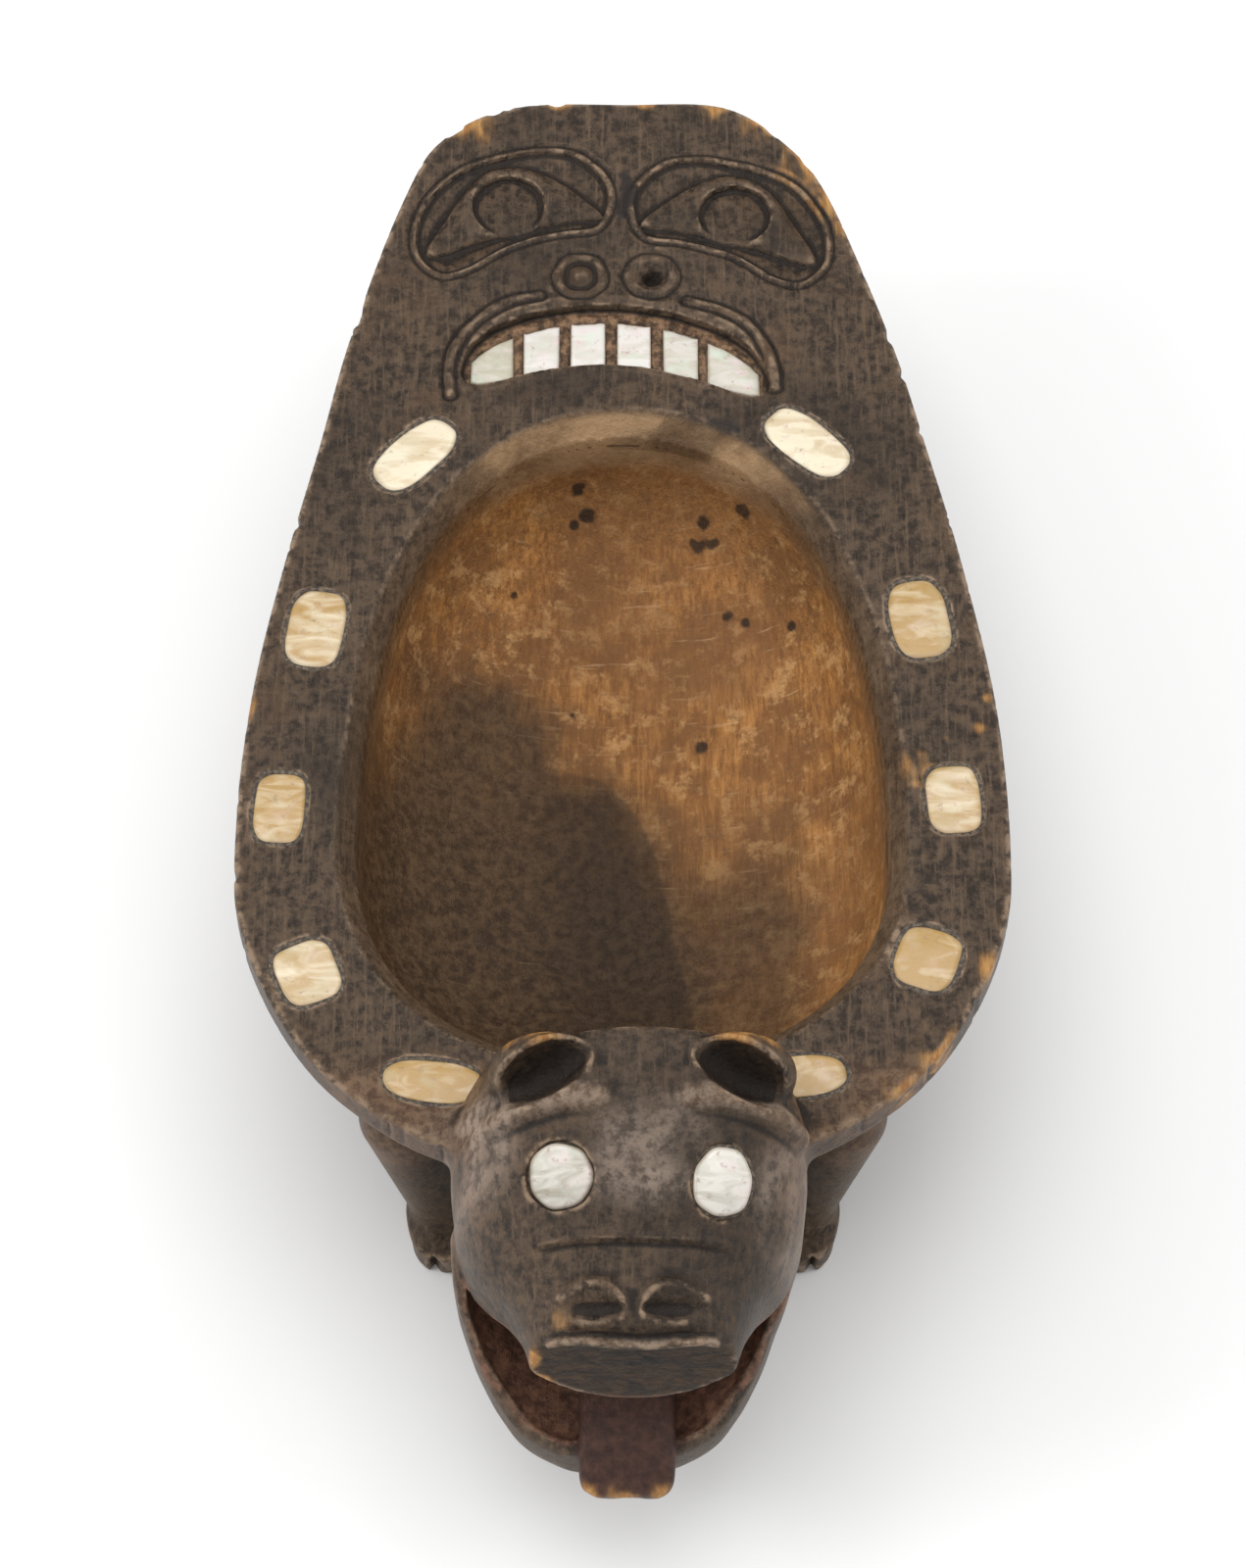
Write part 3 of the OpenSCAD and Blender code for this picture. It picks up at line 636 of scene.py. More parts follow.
# ---------------------------------------------------------------- masks stored on the carving
def corner_normals(points, quads):
    normals = np.cross(points[quads[:, 2]] - points[quads[:, 0]], points[quads[:, 3]] - points[quads[:, 1]])
    total = np.zeros_like(points)
    for k in range(3):
        total[:, k] = np.bincount(quads.ravel(), np.repeat(normals[:, k], 4), len(points))
    return total / np.maximum(np.linalg.norm(total, axis=1, keepdims=True), 1e-9)


def relief(points, normals, quads, stops):
    """How far each vertex stands out of the surface round it, in mm, after each number of easing rounds."""
    a, b = quads.ravel(), np.roll(quads, -1, axis=1).ravel()
    n = len(points)
    count = np.bincount(a, minlength=n) + np.bincount(b, minlength=n)
    eased = points.copy()
    heights = []
    for k in range(1, max(stops) + 1):
        sums = [np.bincount(a, eased[b, axis], n) + np.bincount(b, eased[a, axis], n) for axis in range(3)]
        eased = np.stack(sums, axis=1) / count[:, None]
        if k in stops:
            heights.append(np.einsum("ij,ij->i", points - eased, normals))
    return heights


# Black spots in the hollow: x, y, radius.
SPOTS = [
    (-12.3, 85, 2.2), (-10.3, 80.5, 2.6), (-13.5, 78.5, 2.0), (32.9, 76, 2.6), (22.3, 77.5, 2.2),
    (20.2, 73.2, 2.6), (24.8, 73.0, 2.2), (28.8, 55, 2.0), (33.8, 52.5, 1.7), (46.2, 46.8, 1.6),
    (21.4, 20.5, 2.6), (-14, 30, 1.3), (-30, 60, 1.1),
]
# The edge of the dark stain left in the hollow, round its middle.
STAIN = [
    (-64, 8), (-52, 30), (-38, 35), (-20, 27), (-14, 12.5), (-4, 10.5), (3, 1.5), (8, -10),
    (12, -28), (16.5, -50), (19, -66), (10, -96), (-20, -104), (-52, -92), (-66, -60), (-70, -20),
]
# A painted shadow of the head: the darkest patch in the hollow, an arch behind the head.
HEAD_SHADOW_OUTLINE = [
    (-30, 8), (-17, 12.5), (-6, 11), (3, 1.5), (8, -10), (12, -28), (16.5, -50), (19, -66), (16, -96),
    (-20, -100), (-34, -50),
]
# Places where the black stain has gone down to orange wood: x, y, z, radius.
CHIPPED = [
    (-42, 190, 94, 7), (-18, 199, 94, 5), (6, 199, 95, 4), (26, 197, 94, 5), (38, 191, 94, 6),
    (50, 178, 94, 9), (58, 165, 93, 8), (61, 156, 93, 5), (-98, 0, 93, 5), (92, -76, 94, 5),
    (79, -100, 92, 9), (70, -110, 92, 7),
    (76, -18, 92, 7), (74, -30, 90, 5), (-20, -111, 128, 6), (-28, -112, 124, 4), (28, -111, 128, 7),
    (36, -112, 124, 5), (-15, -176, 104, 4.5), (-22, -183, 95, 4.5), (-20, -186, 88, 4), (27, -178, 103, 3.5),
    (76, -23, 95, 2.6), (77, -14, 95, 2.6), (84, -9, 96, 1.8), (93, -6, 96, 2.4), (95, 3, 96, 2),
    (0, -200, 48, 5), (-8, -199, 48, 4), (9, -199, 48, 4), (-34, -157, 92, 2.5), (-24, 98, 93, 3),
]


def carving_masks(points, quads):
    """Masks from 0 to 1 by name, one value a vertex."""
    x, y, z = (points[:, k] for k in range(3))
    normals = corner_normals(points, quads)
    fine, broad = relief(points, normals, quads, (6, 34))
    grain = rough(x, y * 0.35, z, 2.2, 50)
    patches = rough(x, y, z, 14, 52)
    inset = hollow_inset(x, y)
    up = smoothstep(-0.2, 0.2, normals[:, 2])
    in_hollow = (np.abs(z - hollow_floor(x, y)) < 2.5) * smoothstep(-0.5, 1.5, inset)
    lip = in_hollow * smoothstep(6.5, 4.5, inset)
    inside = in_hollow * smoothstep(4.0, 6.0, inset)
    stain = smoothstep(-13, 9, inside_distance(x, y, closed_curve(STAIN, 4)) + 7 * patches + 2 * grain)
    # Painted shadow of the head, cast as an arch into the hollow.
    arch = smoothstep(-0.6, 0.6, inside_distance(x, y, closed_curve(HEAD_SHADOW_OUTLINE, 4)) + 0.8 * rough(x, y, z, 5, 54))
    arch = arch * smoothstep(-30, -6, x)
    spots = 0
    for sx, sy, radius in SPOTS:
        away = np.sqrt((x - sx) ** 2 + (y - sy) ** 2 + (z - hollow_floor(sx, sy)) ** 2)
        ragged = radius * (0.85 + 0.45 * noise(x, y, z, 1.8, 56))
        spots = np.maximum(spots, smoothstep(1.2, 0.75, away / ragged))
    raw = 0
    for cx, cy, cz, radius in CHIPPED:
        near = np.sqrt((x - cx) ** 2 + (y - cy) ** 2 + (z - cz) ** 2) / radius
        flake = smoothstep(-0.3, 0.25, fine * 2.5 + 0.5 * grain - 0.3 * near)
        raw = np.maximum(raw, smoothstep(1.2, 0.2, near) * flake)
    lip_wear = ridge(inset - 5.9, 0.7) * (np.abs(z - RIM_Z + 9) < 4)
    lip_wear = lip_wear * smoothstep(0.0, 0.5, rough(x, y, z, 9, 57))
    raw = np.maximum(raw, 0.8 * lip_wear)
    mouth = (np.maximum(-mouth_inside(x, y, z), gape(x, y, z)) > -1.4) * smoothstep(-150, -153, y)
    mouth = mouth * (np.abs(x - HEAD_X) < 45) * (z < RIM_Z - 12) * smoothstep(0.9, 0.2, np.abs(fine) * 2)
    on_head = smoothstep(-108, -114, y) * smoothstep(RIM_Z - 32, RIM_Z - 22, z)
    snout_end = smoothstep(-181, -183, y) * (z > RIM_Z - 18) * smoothstep(RIM_Z + 7, RIM_Z + 4, z)
    # Painted highlight along the top of the snout's lip roll, with some rubbed wear; only on faces turned
    # upward.
    crest = smoothstep(0.8, 0.0, lip_roll(x, y, z)) * ridge(y + 182.9, 1.2)
    crest = crest * smoothstep(0.2, 0.8, normals[:, 2])
    crest = crest * smoothstep(-0.6, 0.3, rough(x, y, z, 5, 58))
    gum = smoothstep(0.4, 1.4, inside_distance(x, y, MOUTH)) * (z > RIM_Z - 8)
    pith_height = np.abs(z - RIM_Z + 1.5 + 1.2 * noise(x, 0, 0, 3, 59))
    pith = smoothstep(1.0, 0.4, pith_height / (0.3 + 1.1 * ridge(x - 5, 4)))
    # Painted sheen: a lighter grey-brown tone on the left cheek, over the brows and on the right cheek.
    brow_middle = np.sqrt(((x - 4) / 18) ** 2 + ((y + 140) / 14) ** 2 + ((z - 122) / 12) ** 2)
    painted_sheen = np.maximum(
        smoothstep(1.4, 0.4, np.sqrt(((x + 38) / 14) ** 2 + ((y + 132) / 16) ** 2 + ((z - 98) / 26) ** 2)),
        0.7 * smoothstep(1.3, 0.4, brow_middle),
    )
    cheek = np.sqrt(((x - 42) / 12) ** 2 + ((y + 145) / 16) ** 2 + ((z - 96) / 22) ** 2)
    painted_sheen = np.maximum(painted_sheen, 0.7 * smoothstep(1.4, 0.5, cheek))
    neck = smoothstep(-98, -108, y) * smoothstep(-165, -135, y) * smoothstep(30, 40, np.abs(x - HEAD_X))
    neck = neck * smoothstep(RIM_Z + 24, RIM_Z + 2, z) * smoothstep(RIM_Z - 50, RIM_Z - 40, z)
    brows = np.minimum(*(head_fold(x, y, z, BROW, side, 3.2) for side in (-1, 1)))
    brow_light = smoothstep(1.6, 0.1, brows) * smoothstep(0.0, 0.6, normals[:, 2])
    brow_light = brow_light * smoothstep(-132, -129, y)
    blot = smoothstep(1.2, 0.7, np.hypot((x - 1) / 2.6, (y - 168) / 8) + 0.5 * noise(x, y, 0, 2.4, 61))
    smear = np.hypot((x - 17) / 15, (y - 88) / 3.4) + 0.5 * noise(x, y, 0, 5, 62)
    blot = np.maximum(blot, 0.7 * smoothstep(1.2, 0.6, smear))
    return {
        "ridge": np.clip(0.5 + 1.5 * fine, 0, 1),
        "broad": np.clip(0.5 + 0.5 * broad, 0, 1),
        "inside": inside,
        # The lip's lighter tone: rubbed wear, with a painted highlight that makes it strongest at the far
        # end.
        "lip": lip * (0.12 + 0.88 * smoothstep(58, 82, y + 8 * patches)),
        "stain": inside * stain,
        # Painted shadow of the head in the hollow.
        "arch": inside * arch,
        "spots": inside * spots,
        "raw": raw,
        "red": mouth,
        "tongue": (tongue(x, y, z) < 0.8) * (y < -140),
        "shaded": in_hollow * smoothstep(20, 9, inset + 3 * patches) * smoothstep(30, 60, y),
        "low": in_hollow * smoothstep(10, -35, y + 10 * patches) * smoothstep(58, 42, x + 5 * patches),
        "gum": gum,
        # Painted highlight on the tops of the lip roll and the brows, with some rubbed wear.
        "crest": np.maximum(0.6 * crest, 0.45 * brow_light),
        "blot": blot * up * (z > RIM_Z - 12),
        "endgrain": snout_end,
        "pith": snout_end * pith * smoothstep(16, 9, np.abs(x - 2)),
        # Painted sheen on the head's cheeks and brows.
        "painted_sheen": on_head * painted_sheen * smoothstep(-0.6, 0.3, patches),
        "neck": neck,
        "under": (1 - up) * smoothstep(RIM_Z - 10, RIM_Z - 34, z),
    }


# ---------------------------------------------------------------- shell plates and pitch
def plate(name, outline, top, thickness, dome, seed, tone=0.0, rings=9):
    """A shell plate: a low domed top with a rubbed edge, and a flat underside."""
    middle = outline.mean(axis=0)
    n = len(outline)
    angle = np.linspace(0, 2 * math.pi, n, endpoint=False)
    wobble = 0.02 * np.sin(3 * angle + seed) + 0.015 * np.sin(7 * angle + 2 * seed)
    outline = outline + (outline - middle) * wobble[:, None]
    shares = list(np.linspace(0.06, 0.93, rings)) + [0.97, 0.99, 1, 1, 0.06]
    points = []
    for s in shares[:-3]:
        p = middle + (outline - middle) * s
        wave = 0.09 * noise(p[:, 0], p[:, 1], 0, 5, seed + 60)
        height = top + dome * (1 - s ** 2) - 0.3 * smoothstep(0.94, 1.0, s) + wave
        points.append(np.column_stack([p, height]))
    for s, z in zip(shares[-3:], (top - 0.35, top - thickness, top - thickness)):
        points.append(np.column_stack([middle + (outline - middle) * s, np.full(n, z)]))
    piece = ringed_solid(name, points)
    store(piece, "rim", np.concatenate([np.repeat(shares, n), (0, 0)]))
    store(piece, "tone", np.full(len(piece.data.vertices), tone))
    return piece


def ringed_solid(name, rings):
    """A closed mesh through rings of equal length, with its first and last ring joined to a point."""
    n, m = len(rings[0]), len(rings)
    points = np.concatenate(rings + [rings[0].mean(axis=0)[None], rings[-1].mean(axis=0)[None]])
    i = np.arange(n)
    j = (i + 1) % n
    sides = [np.stack([r * n + i, (r + 1) * n + i, (r + 1) * n + j, r * n + j], axis=1) for r in range(m - 1)]
    piece = new_object(name, points, np.concatenate(sides))
    caps = [(n * m, a, b) for a, b in zip(i, j)]
    caps += [(n * m + 1, (m - 1) * n + b, (m - 1) * n + a) for a, b in zip(i, j)]
    return with_caps(piece, caps)


def with_caps(piece, caps):
    shape = bmesh.new()
    shape.from_mesh(piece.data)
    shape.verts.ensure_lookup_table()
    for corners in caps:
        shape.faces.new([shape.verts[int(c)] for c in corners]).smooth = True
    bmesh.ops.recalc_face_normals(shape, faces=shape.faces)
    shape.to_mesh(piece.data)
    shape.free()
    return piece


def filler(name, outline, top, bottom, inner, outer, seed):
    """A ragged ring of pitch round a plate."""
    middle = outline.mean(axis=0)
    reach = np.linalg.norm(outline - middle, axis=1, keepdims=True)
    out = (outline - middle) / reach
    bumps = noise(outline[:, 0], outline[:, 1], 0, 1.7, seed + 80)[:, None]

    def ring(d, z):
        p = outline + out * d
        return np.column_stack([p, np.broadcast_to(z, len(p))])

    low = top - 0.12 + 0.14 * bumps[:, 0]
    rings = [
        ring(-inner, bottom), ring(-inner, top - 0.5), ring(-inner * 0.3, low),
        ring(outer * 0.35 + 0.1 * bumps, low),
        ring(outer, top - 0.35), ring(outer, bottom),
    ]
    n = len(outline)
    points = np.concatenate(rings)
    i = np.arange(n)
    j = (i + 1) % n
    sides = [
        np.stack([r * n + i, r * n + j, (r + 1) % 6 * n + j, (r + 1) % 6 * n + i], axis=1) for r in range(6)
    ]
    return new_object(name, points, np.concatenate(sides))


# ---------------------------------------------------------------- materials
class Shader:
    """A material's node tree, with short calls for the nodes used here."""

    def __init__(self, name):
        self.material = bpy.data.materials.new(name)
        self.material.use_nodes = True
        self.tree = self.material.node_tree
        self.principled = self.tree.nodes["Principled BSDF"]
        self.position = self.node("ShaderNodeTexCoord").outputs["Object"]

    def node(self, kind, **values):
        made = self.tree.nodes.new(kind)
        for key, value in values.items():
            if key in made.inputs:
                self.put(made.inputs[key], value)
            else:
                setattr(made, key, value)
        return made

    def put(self, socket, value):
        if isinstance(value, bpy.types.NodeSocket):
            self.tree.links.new(value, socket)
        else:
            socket.default_value = value

    def mask(self, name):
        return self.node("ShaderNodeAttribute", attribute_name=name).outputs["Fac"]

    def stretched(self, scale, turn=(0, 0, 0)):
        mapped = self.node("ShaderNodeMapping")
        self.put(mapped.inputs["Vector"], self.position)
        mapped.inputs["Scale"].default_value = scale
        mapped.inputs["Rotation"].default_value = turn
        return mapped.outputs["Vector"]

    def noise(self, scale, detail=4.0, rough=0.5, vector=None, distortion=0.0):
        made = self.node(
            "ShaderNodeTexNoise", Scale=scale, Detail=detail, Roughness=rough, Distortion=distortion,
        )
        self.put(made.inputs["Vector"], self.position if vector is None else vector)
        return made.outputs["Fac"]

    def math(self, operation, a, b=0.0, clamp=False):
        made = self.node("ShaderNodeMath", operation=operation, use_clamp=clamp)
        self.put(made.inputs[0], a)
        self.put(made.inputs[1], b)
        return made.outputs[0]

    def steps(self, value, low, high, out_low=0.0, out_high=1.0):
        made = self.node("ShaderNodeMapRange", interpolation_type="SMOOTHSTEP")
        keys = ("Value", "From Min", "From Max", "To Min", "To Max")
        for key, v in zip(keys, (value, low, high, out_low, out_high)):
            self.put(made.inputs[key], v)
        return made.outputs["Result"]

    def mix(self, share, a, b, blend="MIX"):
        made = self.node("ShaderNodeMix", data_type="RGBA", blend_type=blend)
        self.put(made.inputs["Factor"], share)
        self.put(made.inputs[6], a if isinstance(a, bpy.types.NodeSocket) else (*a, 1))
        self.put(made.inputs[7], b if isinstance(b, bpy.types.NodeSocket) else (*b, 1))
        return made.outputs[2]

    def bump(self, height, distance, strength=1.0, normal=None):
        made = self.node("ShaderNodeBump", Strength=strength, Distance=distance, Height=height)
        if normal is not None:
            self.put(made.inputs["Normal"], normal)
        return made.outputs["Normal"]

    def finish(self, color, roughness, normal, **plain):
        self.put(self.principled.inputs["Base Color"], color)
        self.put(self.principled.inputs["Roughness"], roughness)
        self.put(self.principled.inputs["Normal"], normal)
        for key, value in plain.items():
            self.principled.inputs[key.replace("_", " ")].default_value = value
        return self.material


def wood_material():
    s = Shader("carved_wood")
    blotch = s.noise(14, 5, 0.6)
    broad = s.noise(48, 6, 0.65)
    mottle = s.noise(330, 6, 0.72)
    streaks = s.noise(1, 7, 0.7, s.stretched((760, 60, 500)))
    fine = s.noise(1, 6, 0.75, s.stretched((2600, 260, 1800)))
    rays = s.noise(1, 5, 0.65, s.stretched((60, 900, 60), (0, 0, 0.5)))
    pores = s.noise(1700, 4, 0.65)
    edge = s.mask("ridge")
    broad_edge = s.mask("broad")

    stained = s.mix(s.steps(mottle, 0.36, 0.64), (0.022, 0.014, 0.009), (0.105, 0.068, 0.042))
    stained = s.mix(s.steps(streaks, 0.48, 0.66, 0, 0.6), stained, (0.165, 0.108, 0.066))
    stained = s.mix(s.steps(blotch, 0.48, 0.64, 0, 0.55), stained, (0.022, 0.015, 0.010))
    stained = s.mix(s.steps(broad, 0.52, 0.72, 0, 0.4), stained, (0.125, 0.070, 0.034))
    stained = s.mix(s.steps(rays, 0.66, 0.74, 0, 0.35), stained, (0.240, 0.165, 0.105))
    stained = s.mix(s.math("MULTIPLY", s.mask("under"), 0.75), stained, (0.085, 0.050, 0.020))
    neck = s.math("MULTIPLY", s.mask("neck"), s.steps(broad, 0.36, 0.56, 0.1, 0.6))
    neck_tone = s.mix(s.steps(mottle, 0.4, 0.6), (0.120, 0.062, 0.032), (0.250, 0.148, 0.084))
    stained = s.mix(neck, stained, neck_tone)
    # Painted sheen: the head's cheeks and brows lightened to a grey brown.
    painted_sheen = s.math("MULTIPLY", s.mask("painted_sheen"), s.steps(s.noise(330, 5, 0.7), 0.36, 0.6, 0.25, 0.85))
    stained = s.mix(painted_sheen, stained, (0.440, 0.340, 0.270))
    end_streaks = s.noise(1, 6, 0.7, s.stretched((130, 300, 620)), 1.5)
    end = s.mix(s.steps(end_streaks, 0.4, 0.66), (0.013, 0.006, 0.002), (0.074, 0.038, 0.014))
    stained = s.mix(s.mask("endgrain"), stained, end)
    rubbed_edge = s.steps(edge, 0.62, 0.95, 0, 0.8)
    rubbed = s.math("ADD", rubbed_edge, s.steps(broad_edge, 0.62, 1.0, 0, 0.5), clamp=True)
    rubbed = s.math("MULTIPLY", rubbed, s.steps(s.noise(240, 5, 0.65), 0.42, 0.6))
    stained = s.mix(rubbed, stained, (0.290, 0.200, 0.130))
    sunk = s.math("ADD", s.steps(edge, 0.47, 0.3), s.steps(broad_edge, 0.42, 0.2, 0, 0.7), clamp=True)
    stained = s.mix(s.math("MULTIPLY", sunk, 0.85), stained, (0.012, 0.008, 0.006))
    # Painted highlight on the lip roll and the brows, with some rubbed wear.
    crest_highlight_tone = s.mix(s.steps(mottle, 0.4, 0.6), (0.200, 0.125, 0.075), (0.450, 0.340, 0.255))
    stained = s.mix(s.mask("crest"), stained, crest_highlight_tone)
    stained = s.mix(s.math("MULTIPLY", s.mask("blot"), 0.85), stained, (0.012, 0.012, 0.017))
    stained = s.mix(s.mask("pith"), stained, (0.004, 0.003, 0.002))
    gum = s.mix(s.steps(mottle, 0.4, 0.62), (0.060, 0.034, 0.019), (0.280, 0.165, 0.090))
    stained = s.mix(s.mask("gum"), stained, gum)

    warm = s.mix(s.steps(streaks, 0.32, 0.68), (0.240, 0.095, 0.022), (0.560, 0.260, 0.075))
    warm = s.mix(s.steps(broad, 0.38, 0.6, 0, 0.75), warm, (0.190, 0.082, 0.028))
    warm = s.mix(s.steps(s.noise(150, 6, 0.75), 0.5, 0.64, 0, 0.65), warm, (0.660, 0.380, 0.155))
    warm = s.mix(s.steps(s.noise(230, 6, 0.75), 0.54, 0.66, 0, 0.6), warm, (0.170, 0.080, 0.032))
    warm = s.mix(s.steps(blotch, 0.46, 0.6, 0, 0.5), warm, (0.230, 0.105, 0.038))
    warm = s.mix(s.steps(rays, 0.6, 0.72, 0, 0.5), warm, (0.640, 0.420, 0.220))
    warm = s.mix(s.steps(fine, 0.58, 0.74, 0, 0.4), warm, (0.620, 0.420, 0.230))
    dark = s.mix(s.steps(mottle, 0.36, 0.66), (0.036, 0.020, 0.010), (0.110, 0.066, 0.034))
    dark = s.mix(s.steps(rays, 0.62, 0.74, 0, 0.4), dark, (0.210, 0.145, 0.085))
    dark = s.mix(s.steps(fine, 0.6, 0.75, 0, 0.4), dark, (0.190, 0.130, 0.080))
    warm = s.mix(s.math("MULTIPLY", s.mask("shaded"), 0.25), warm, (0.120, 0.062, 0.024))
    warm = s.mix(s.math("MULTIPLY", s.mask("low"), 0.75), warm, dark)
    warm = s.mix(s.math("MULTIPLY", s.mask("stain"), 0.9), warm, dark)
    # Painted shadow of the head: the arch behind it darkened.
    warm = s.mix(s.math("MULTIPLY", s.mask("arch"), 0.45), warm, (0.024, 0.014, 0.008))
    warm = s.mix(s.math("MULTIPLY", s.mask("spots"), 0.85), warm, (0.010, 0.007, 0.006))

    # The lip's rubbed tone with a painted highlight, strongest at the far end.
    lip_tone_and_highlight = s.mix(s.steps(broad, 0.35, 0.65), (0.240, 0.140, 0.070), (0.540, 0.345, 0.185))
    color = s.mix(s.mask("inside"), stained, warm)
    color = s.mix(s.math("MULTIPLY", s.mask("lip"), 0.85), color, lip_tone_and_highlight)
    color = s.mix(s.math("MULTIPLY", s.mask("blot"), 0.6), color, (0.030, 0.020, 0.014))
    red = s.mix(s.steps(mottle, 0.35, 0.68), (0.080, 0.038, 0.026), (0.280, 0.140, 0.085))
    color = s.mix(s.mask("red"), color, red)
    tongue_tone = s.mix(s.steps(mottle, 0.38, 0.66), (0.040, 0.017, 0.012), (0.095, 0.042, 0.029))
    color = s.mix(s.mask("tongue"), color, tongue_tone)
    raw = s.mix(s.steps(streaks, 0.35, 0.7), (0.360, 0.150, 0.035), (0.640, 0.360, 0.120))
    color = s.mix(s.mask("raw"), color, raw)
    color = s.mix(s.steps(pores, 0.66, 0.8, 0, 0.25), color, (0.300, 0.235, 0.170))

    roughness = s.steps(mottle, 0.3, 0.7, 0.27, 0.45)
    normal = s.bump(streaks, 0.0006, 0.9)
    normal = s.bump(mottle, 0.0010, 0.8, normal)
    normal = s.bump(s.noise(520, 4, 0.6), 0.0004, 0.7, normal)
    normal = s.bump(fine, 0.0002, 0.9, normal)
    normal = s.bump(pores, 0.00025, 0.8, normal)
    return s.finish(color, roughness, normal, Specular_IOR_Level=0.27)


def shell_material(name, pale, deep, iridescent, bands=0.35):
    """Nacre between a pale and a deep tone, with growth bands; each plate stores its share of deep."""
    s = Shader(name)
    waves = s.noise(1, 3, 0.5, s.stretched((90, 260, 90), (0, 0, 0.5)), 0.8)
    clouds = s.noise(160, 4, 0.55)
    shade = s.math("ADD", s.mask("tone"), s.steps(waves, 0.3, 0.7, -bands, bands), clamp=True)
    color = s.mix(shade, pale, deep)
    color = s.mix(s.steps(clouds, 0.5, 0.72, 0, iridescent), color, (0.58, 0.70, 0.58))
    color = s.mix(s.steps(s.noise(210, 3, 0.5), 0.52, 0.7, 0, iridescent), color, (0.76, 0.58, 0.60))
    specks = s.steps(s.noise(420, 6, 0.75), 0.56, 0.7, 0, 0.6)
    color = s.mix(specks, color, (0.22, 0.14, 0.07))
    color = s.mix(s.steps(s.mask("rim"), 0.86, 1.0, 0, 0.55), color, (0.24, 0.16, 0.08))
    normal = s.bump(waves, 0.0003, 0.6)
    normal = s.bump(s.noise(1500, 3, 0.6), 0.00004, 0.5, normal)
    roughness = s.steps(clouds, 0.3, 0.7, 0.2, 0.38)
    return s.finish(color, roughness, normal, Specular_IOR_Level=0.5, Coat_Weight=0.15)


def pitch_material():
    s = Shader("pitch")
    crumbs = s.noise(900, 5, 0.7)
    color = s.mix(s.steps(crumbs, 0.4, 0.7), (0.030, 0.020, 0.014), (0.190, 0.150, 0.105))
    return s.finish(color, s.steps(crumbs, 0.3, 0.7, 0.5, 0.8), s.bump(crumbs, 0.0003, 0.9))


# ---------------------------------------------------------------- the object
def dress(piece, material, slot, *nodes):
    piece.data.materials.clear()
    piece.data.materials.append(material)
    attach(piece, "root")
    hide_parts(*nodes)


def build_carving():
    points, quads = carving_mesh()
    piece = new_object("carving", points, quads)
    for name, values in carving_masks(points, quads).items():
        store(piece, name, values)
    dress(piece, wood_material(), "carved_wood", "carved_body")


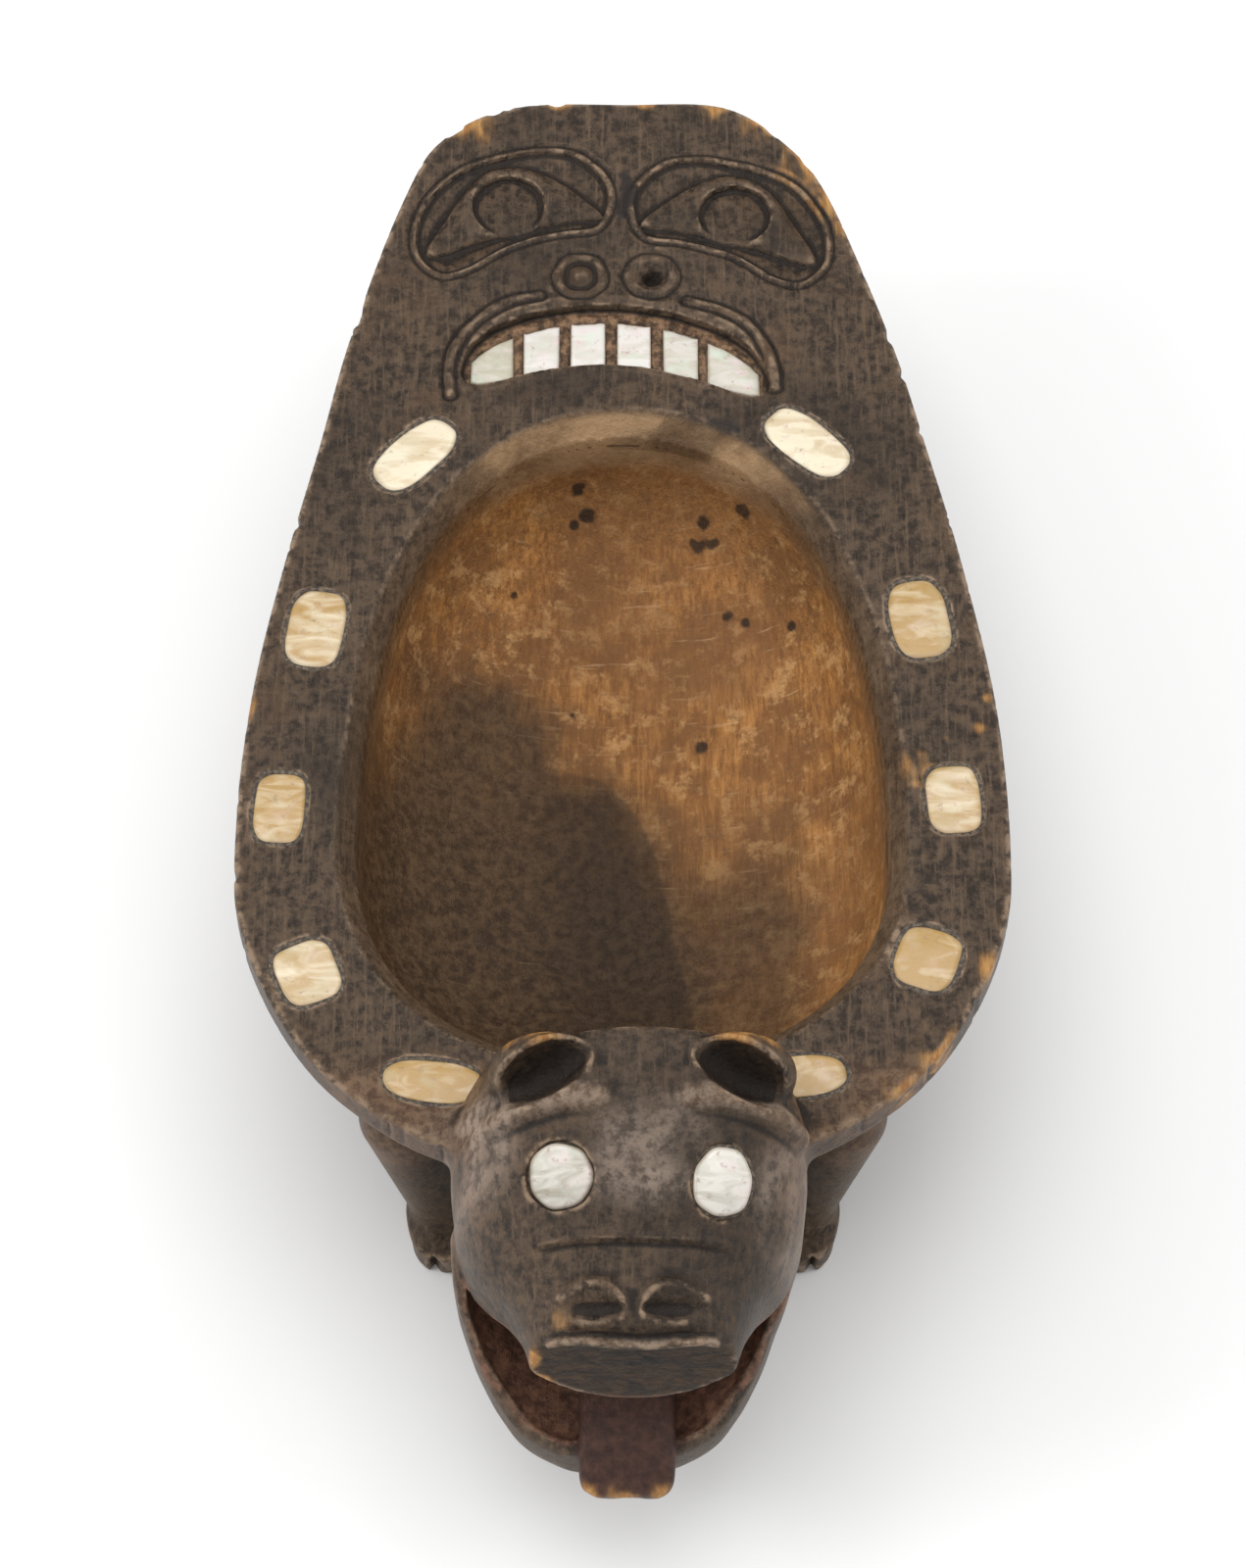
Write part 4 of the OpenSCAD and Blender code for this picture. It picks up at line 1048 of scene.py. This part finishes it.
def build_plates():
    rim = shell_material("rim_shell", (0.74, 0.65, 0.48), (0.40, 0.245, 0.078), 0.12)
    white = shell_material("tooth_shell", (0.68, 0.64, 0.60), (0.46, 0.43, 0.33), 0.5)
    pitch = pitch_material()
    for (side, k), outline in INLAYS.items():
        seed = k + (7 if side == "left" else 0)
        tone = INLAY_TONES[side][k - 1]
        shell = plate(f"shell_{side}_{k}", outline, RIM_Z - 0.25, SHELL_T, 0.35, seed, tone)
        dress(shell, rim, "rim_shell", f"rim_inlay_{side}_{k}")
        ring = filler(f"filler_{side}_{k}", outline, RIM_Z, RIM_Z - 2.1, 0.4, 1.8, k)
        dress(ring, pitch, "pitch", f"rim_pitch_{side}_{k}")
    floor = RIM_Z - MOUTH_DEPTH
    for k, outline in enumerate(TEETH):
        thickness = SHELL_T - 0.3
        name = f"tooth_plate_{k + 1}"
        shell = plate(name, outline[::-1], floor + 0.25, thickness, 0.3, k + 20, TOOTH_TONES[k], 5)
        dress(shell, white, "tooth_shell", f"tooth_{k + 1}")
        ring = filler(f"tooth_filler_{k + 1}", outline[::-1], floor + 0.05, floor - 1.2, 0.35, 0.5, k + 30)
        dress(ring, pitch, "pitch", f"tooth_pitch_{k + 1}")
    silver = shell_material("eye_shell", (0.70, 0.67, 0.61), (0.36, 0.33, 0.26), 0.35, 0.45)
    for side, (place, radii, lean) in EYES.items():
        disc = super_ellipse(*radii, 2.15, 72)
        shell = plate(f"eye_disc_{side}", disc, 0.9, SHELL_T, 1.5, 40 + lean, 0.35 - 0.2 * lean)
        ring = filler(f"eye_filler_{side}", disc, 0.2, -1.6, 0.3, 0.95, 50 + lean)
        for piece in (shell, ring):
            piece.location = (place[0] * MM, place[1] * MM, EYE_Z * MM)
            piece.rotation_euler = (math.radians(EYE_PITCH), math.radians(EYE_ROLL * lean), 0)
        dress(shell, silver, "eye_shell", f"eye_shell_{side}")
        dress(ring, pitch, "pitch", f"eye_pitch_{side}")


# ---------------------------------------------------------------- studio
def floor_and_light():
    size = 3.0
    mesh = bpy.data.meshes.new("studio_floor")
    corners = [(-size, -size, 0), (size, -size, 0), (size, size, 0), (-size, size, 0)]
    mesh.from_pydata(corners, [], [(0, 1, 2, 3)])
    ground = bpy.data.objects.new("studio_floor", mesh)
    bpy.context.scene.collection.objects.link(ground)
    s = Shader("studio_paper")
    tone = s.mix(s.noise(3, 2), (0.86, 0.86, 0.86), (0.88, 0.88, 0.88))
    roughness = s.steps(s.noise(5, 2), 0, 1, 0.8, 0.9)
    ground.data.materials.append(s.finish(tone, roughness, s.bump(s.noise(800, 2), 0.00002)))

    world = bpy.data.worlds.new("studio_light")
    world.use_nodes = True
    world.node_tree.nodes["Background"].inputs["Color"].default_value = (1, 1, 1, 1)
    world.node_tree.nodes["Background"].inputs["Strength"].default_value = 0.55
    bpy.context.scene.world = world

    for name, place, width, power in (
        ("top_box", (-0.1, 0.3, 2.6), 2.2, 39),
        ("left_box", (-1.4, -0.2, 1.0), 0.7, 11),
        ("right_box", (1.4, 0.0, 1.0), 0.9, 7),
    ):
        light = bpy.data.lights.new(name, "AREA")
        light.shape = "SQUARE"
        light.size = width
        light.energy = power
        lamp = bpy.data.objects.new(name, light)
        lamp.location = place
        aim = np.array([0, 0, 0.05]) - place
        tilt = math.atan2(math.hypot(aim[0], aim[1]), -aim[2])
        lamp.rotation_euler = (tilt, 0, math.atan2(-aim[0], aim[1]))
        bpy.context.scene.collection.objects.link(lamp)


def camera():
    data = bpy.data.cameras.new("camera")
    data.sensor_fit = "VERTICAL"
    data.sensor_height = 36
    data.lens = 108
    eye = bpy.data.objects.new("camera", data)
    eye.location = (0, -0.633, 1.1526)
    eye.rotation_euler = (math.radians(30), 0, 0)
    bpy.context.scene.collection.objects.link(eye)
    bpy.context.scene.camera = eye


bpy.context.scene.view_settings.view_transform = "Standard"
camera()
floor_and_light()
build_carving()
build_plates()
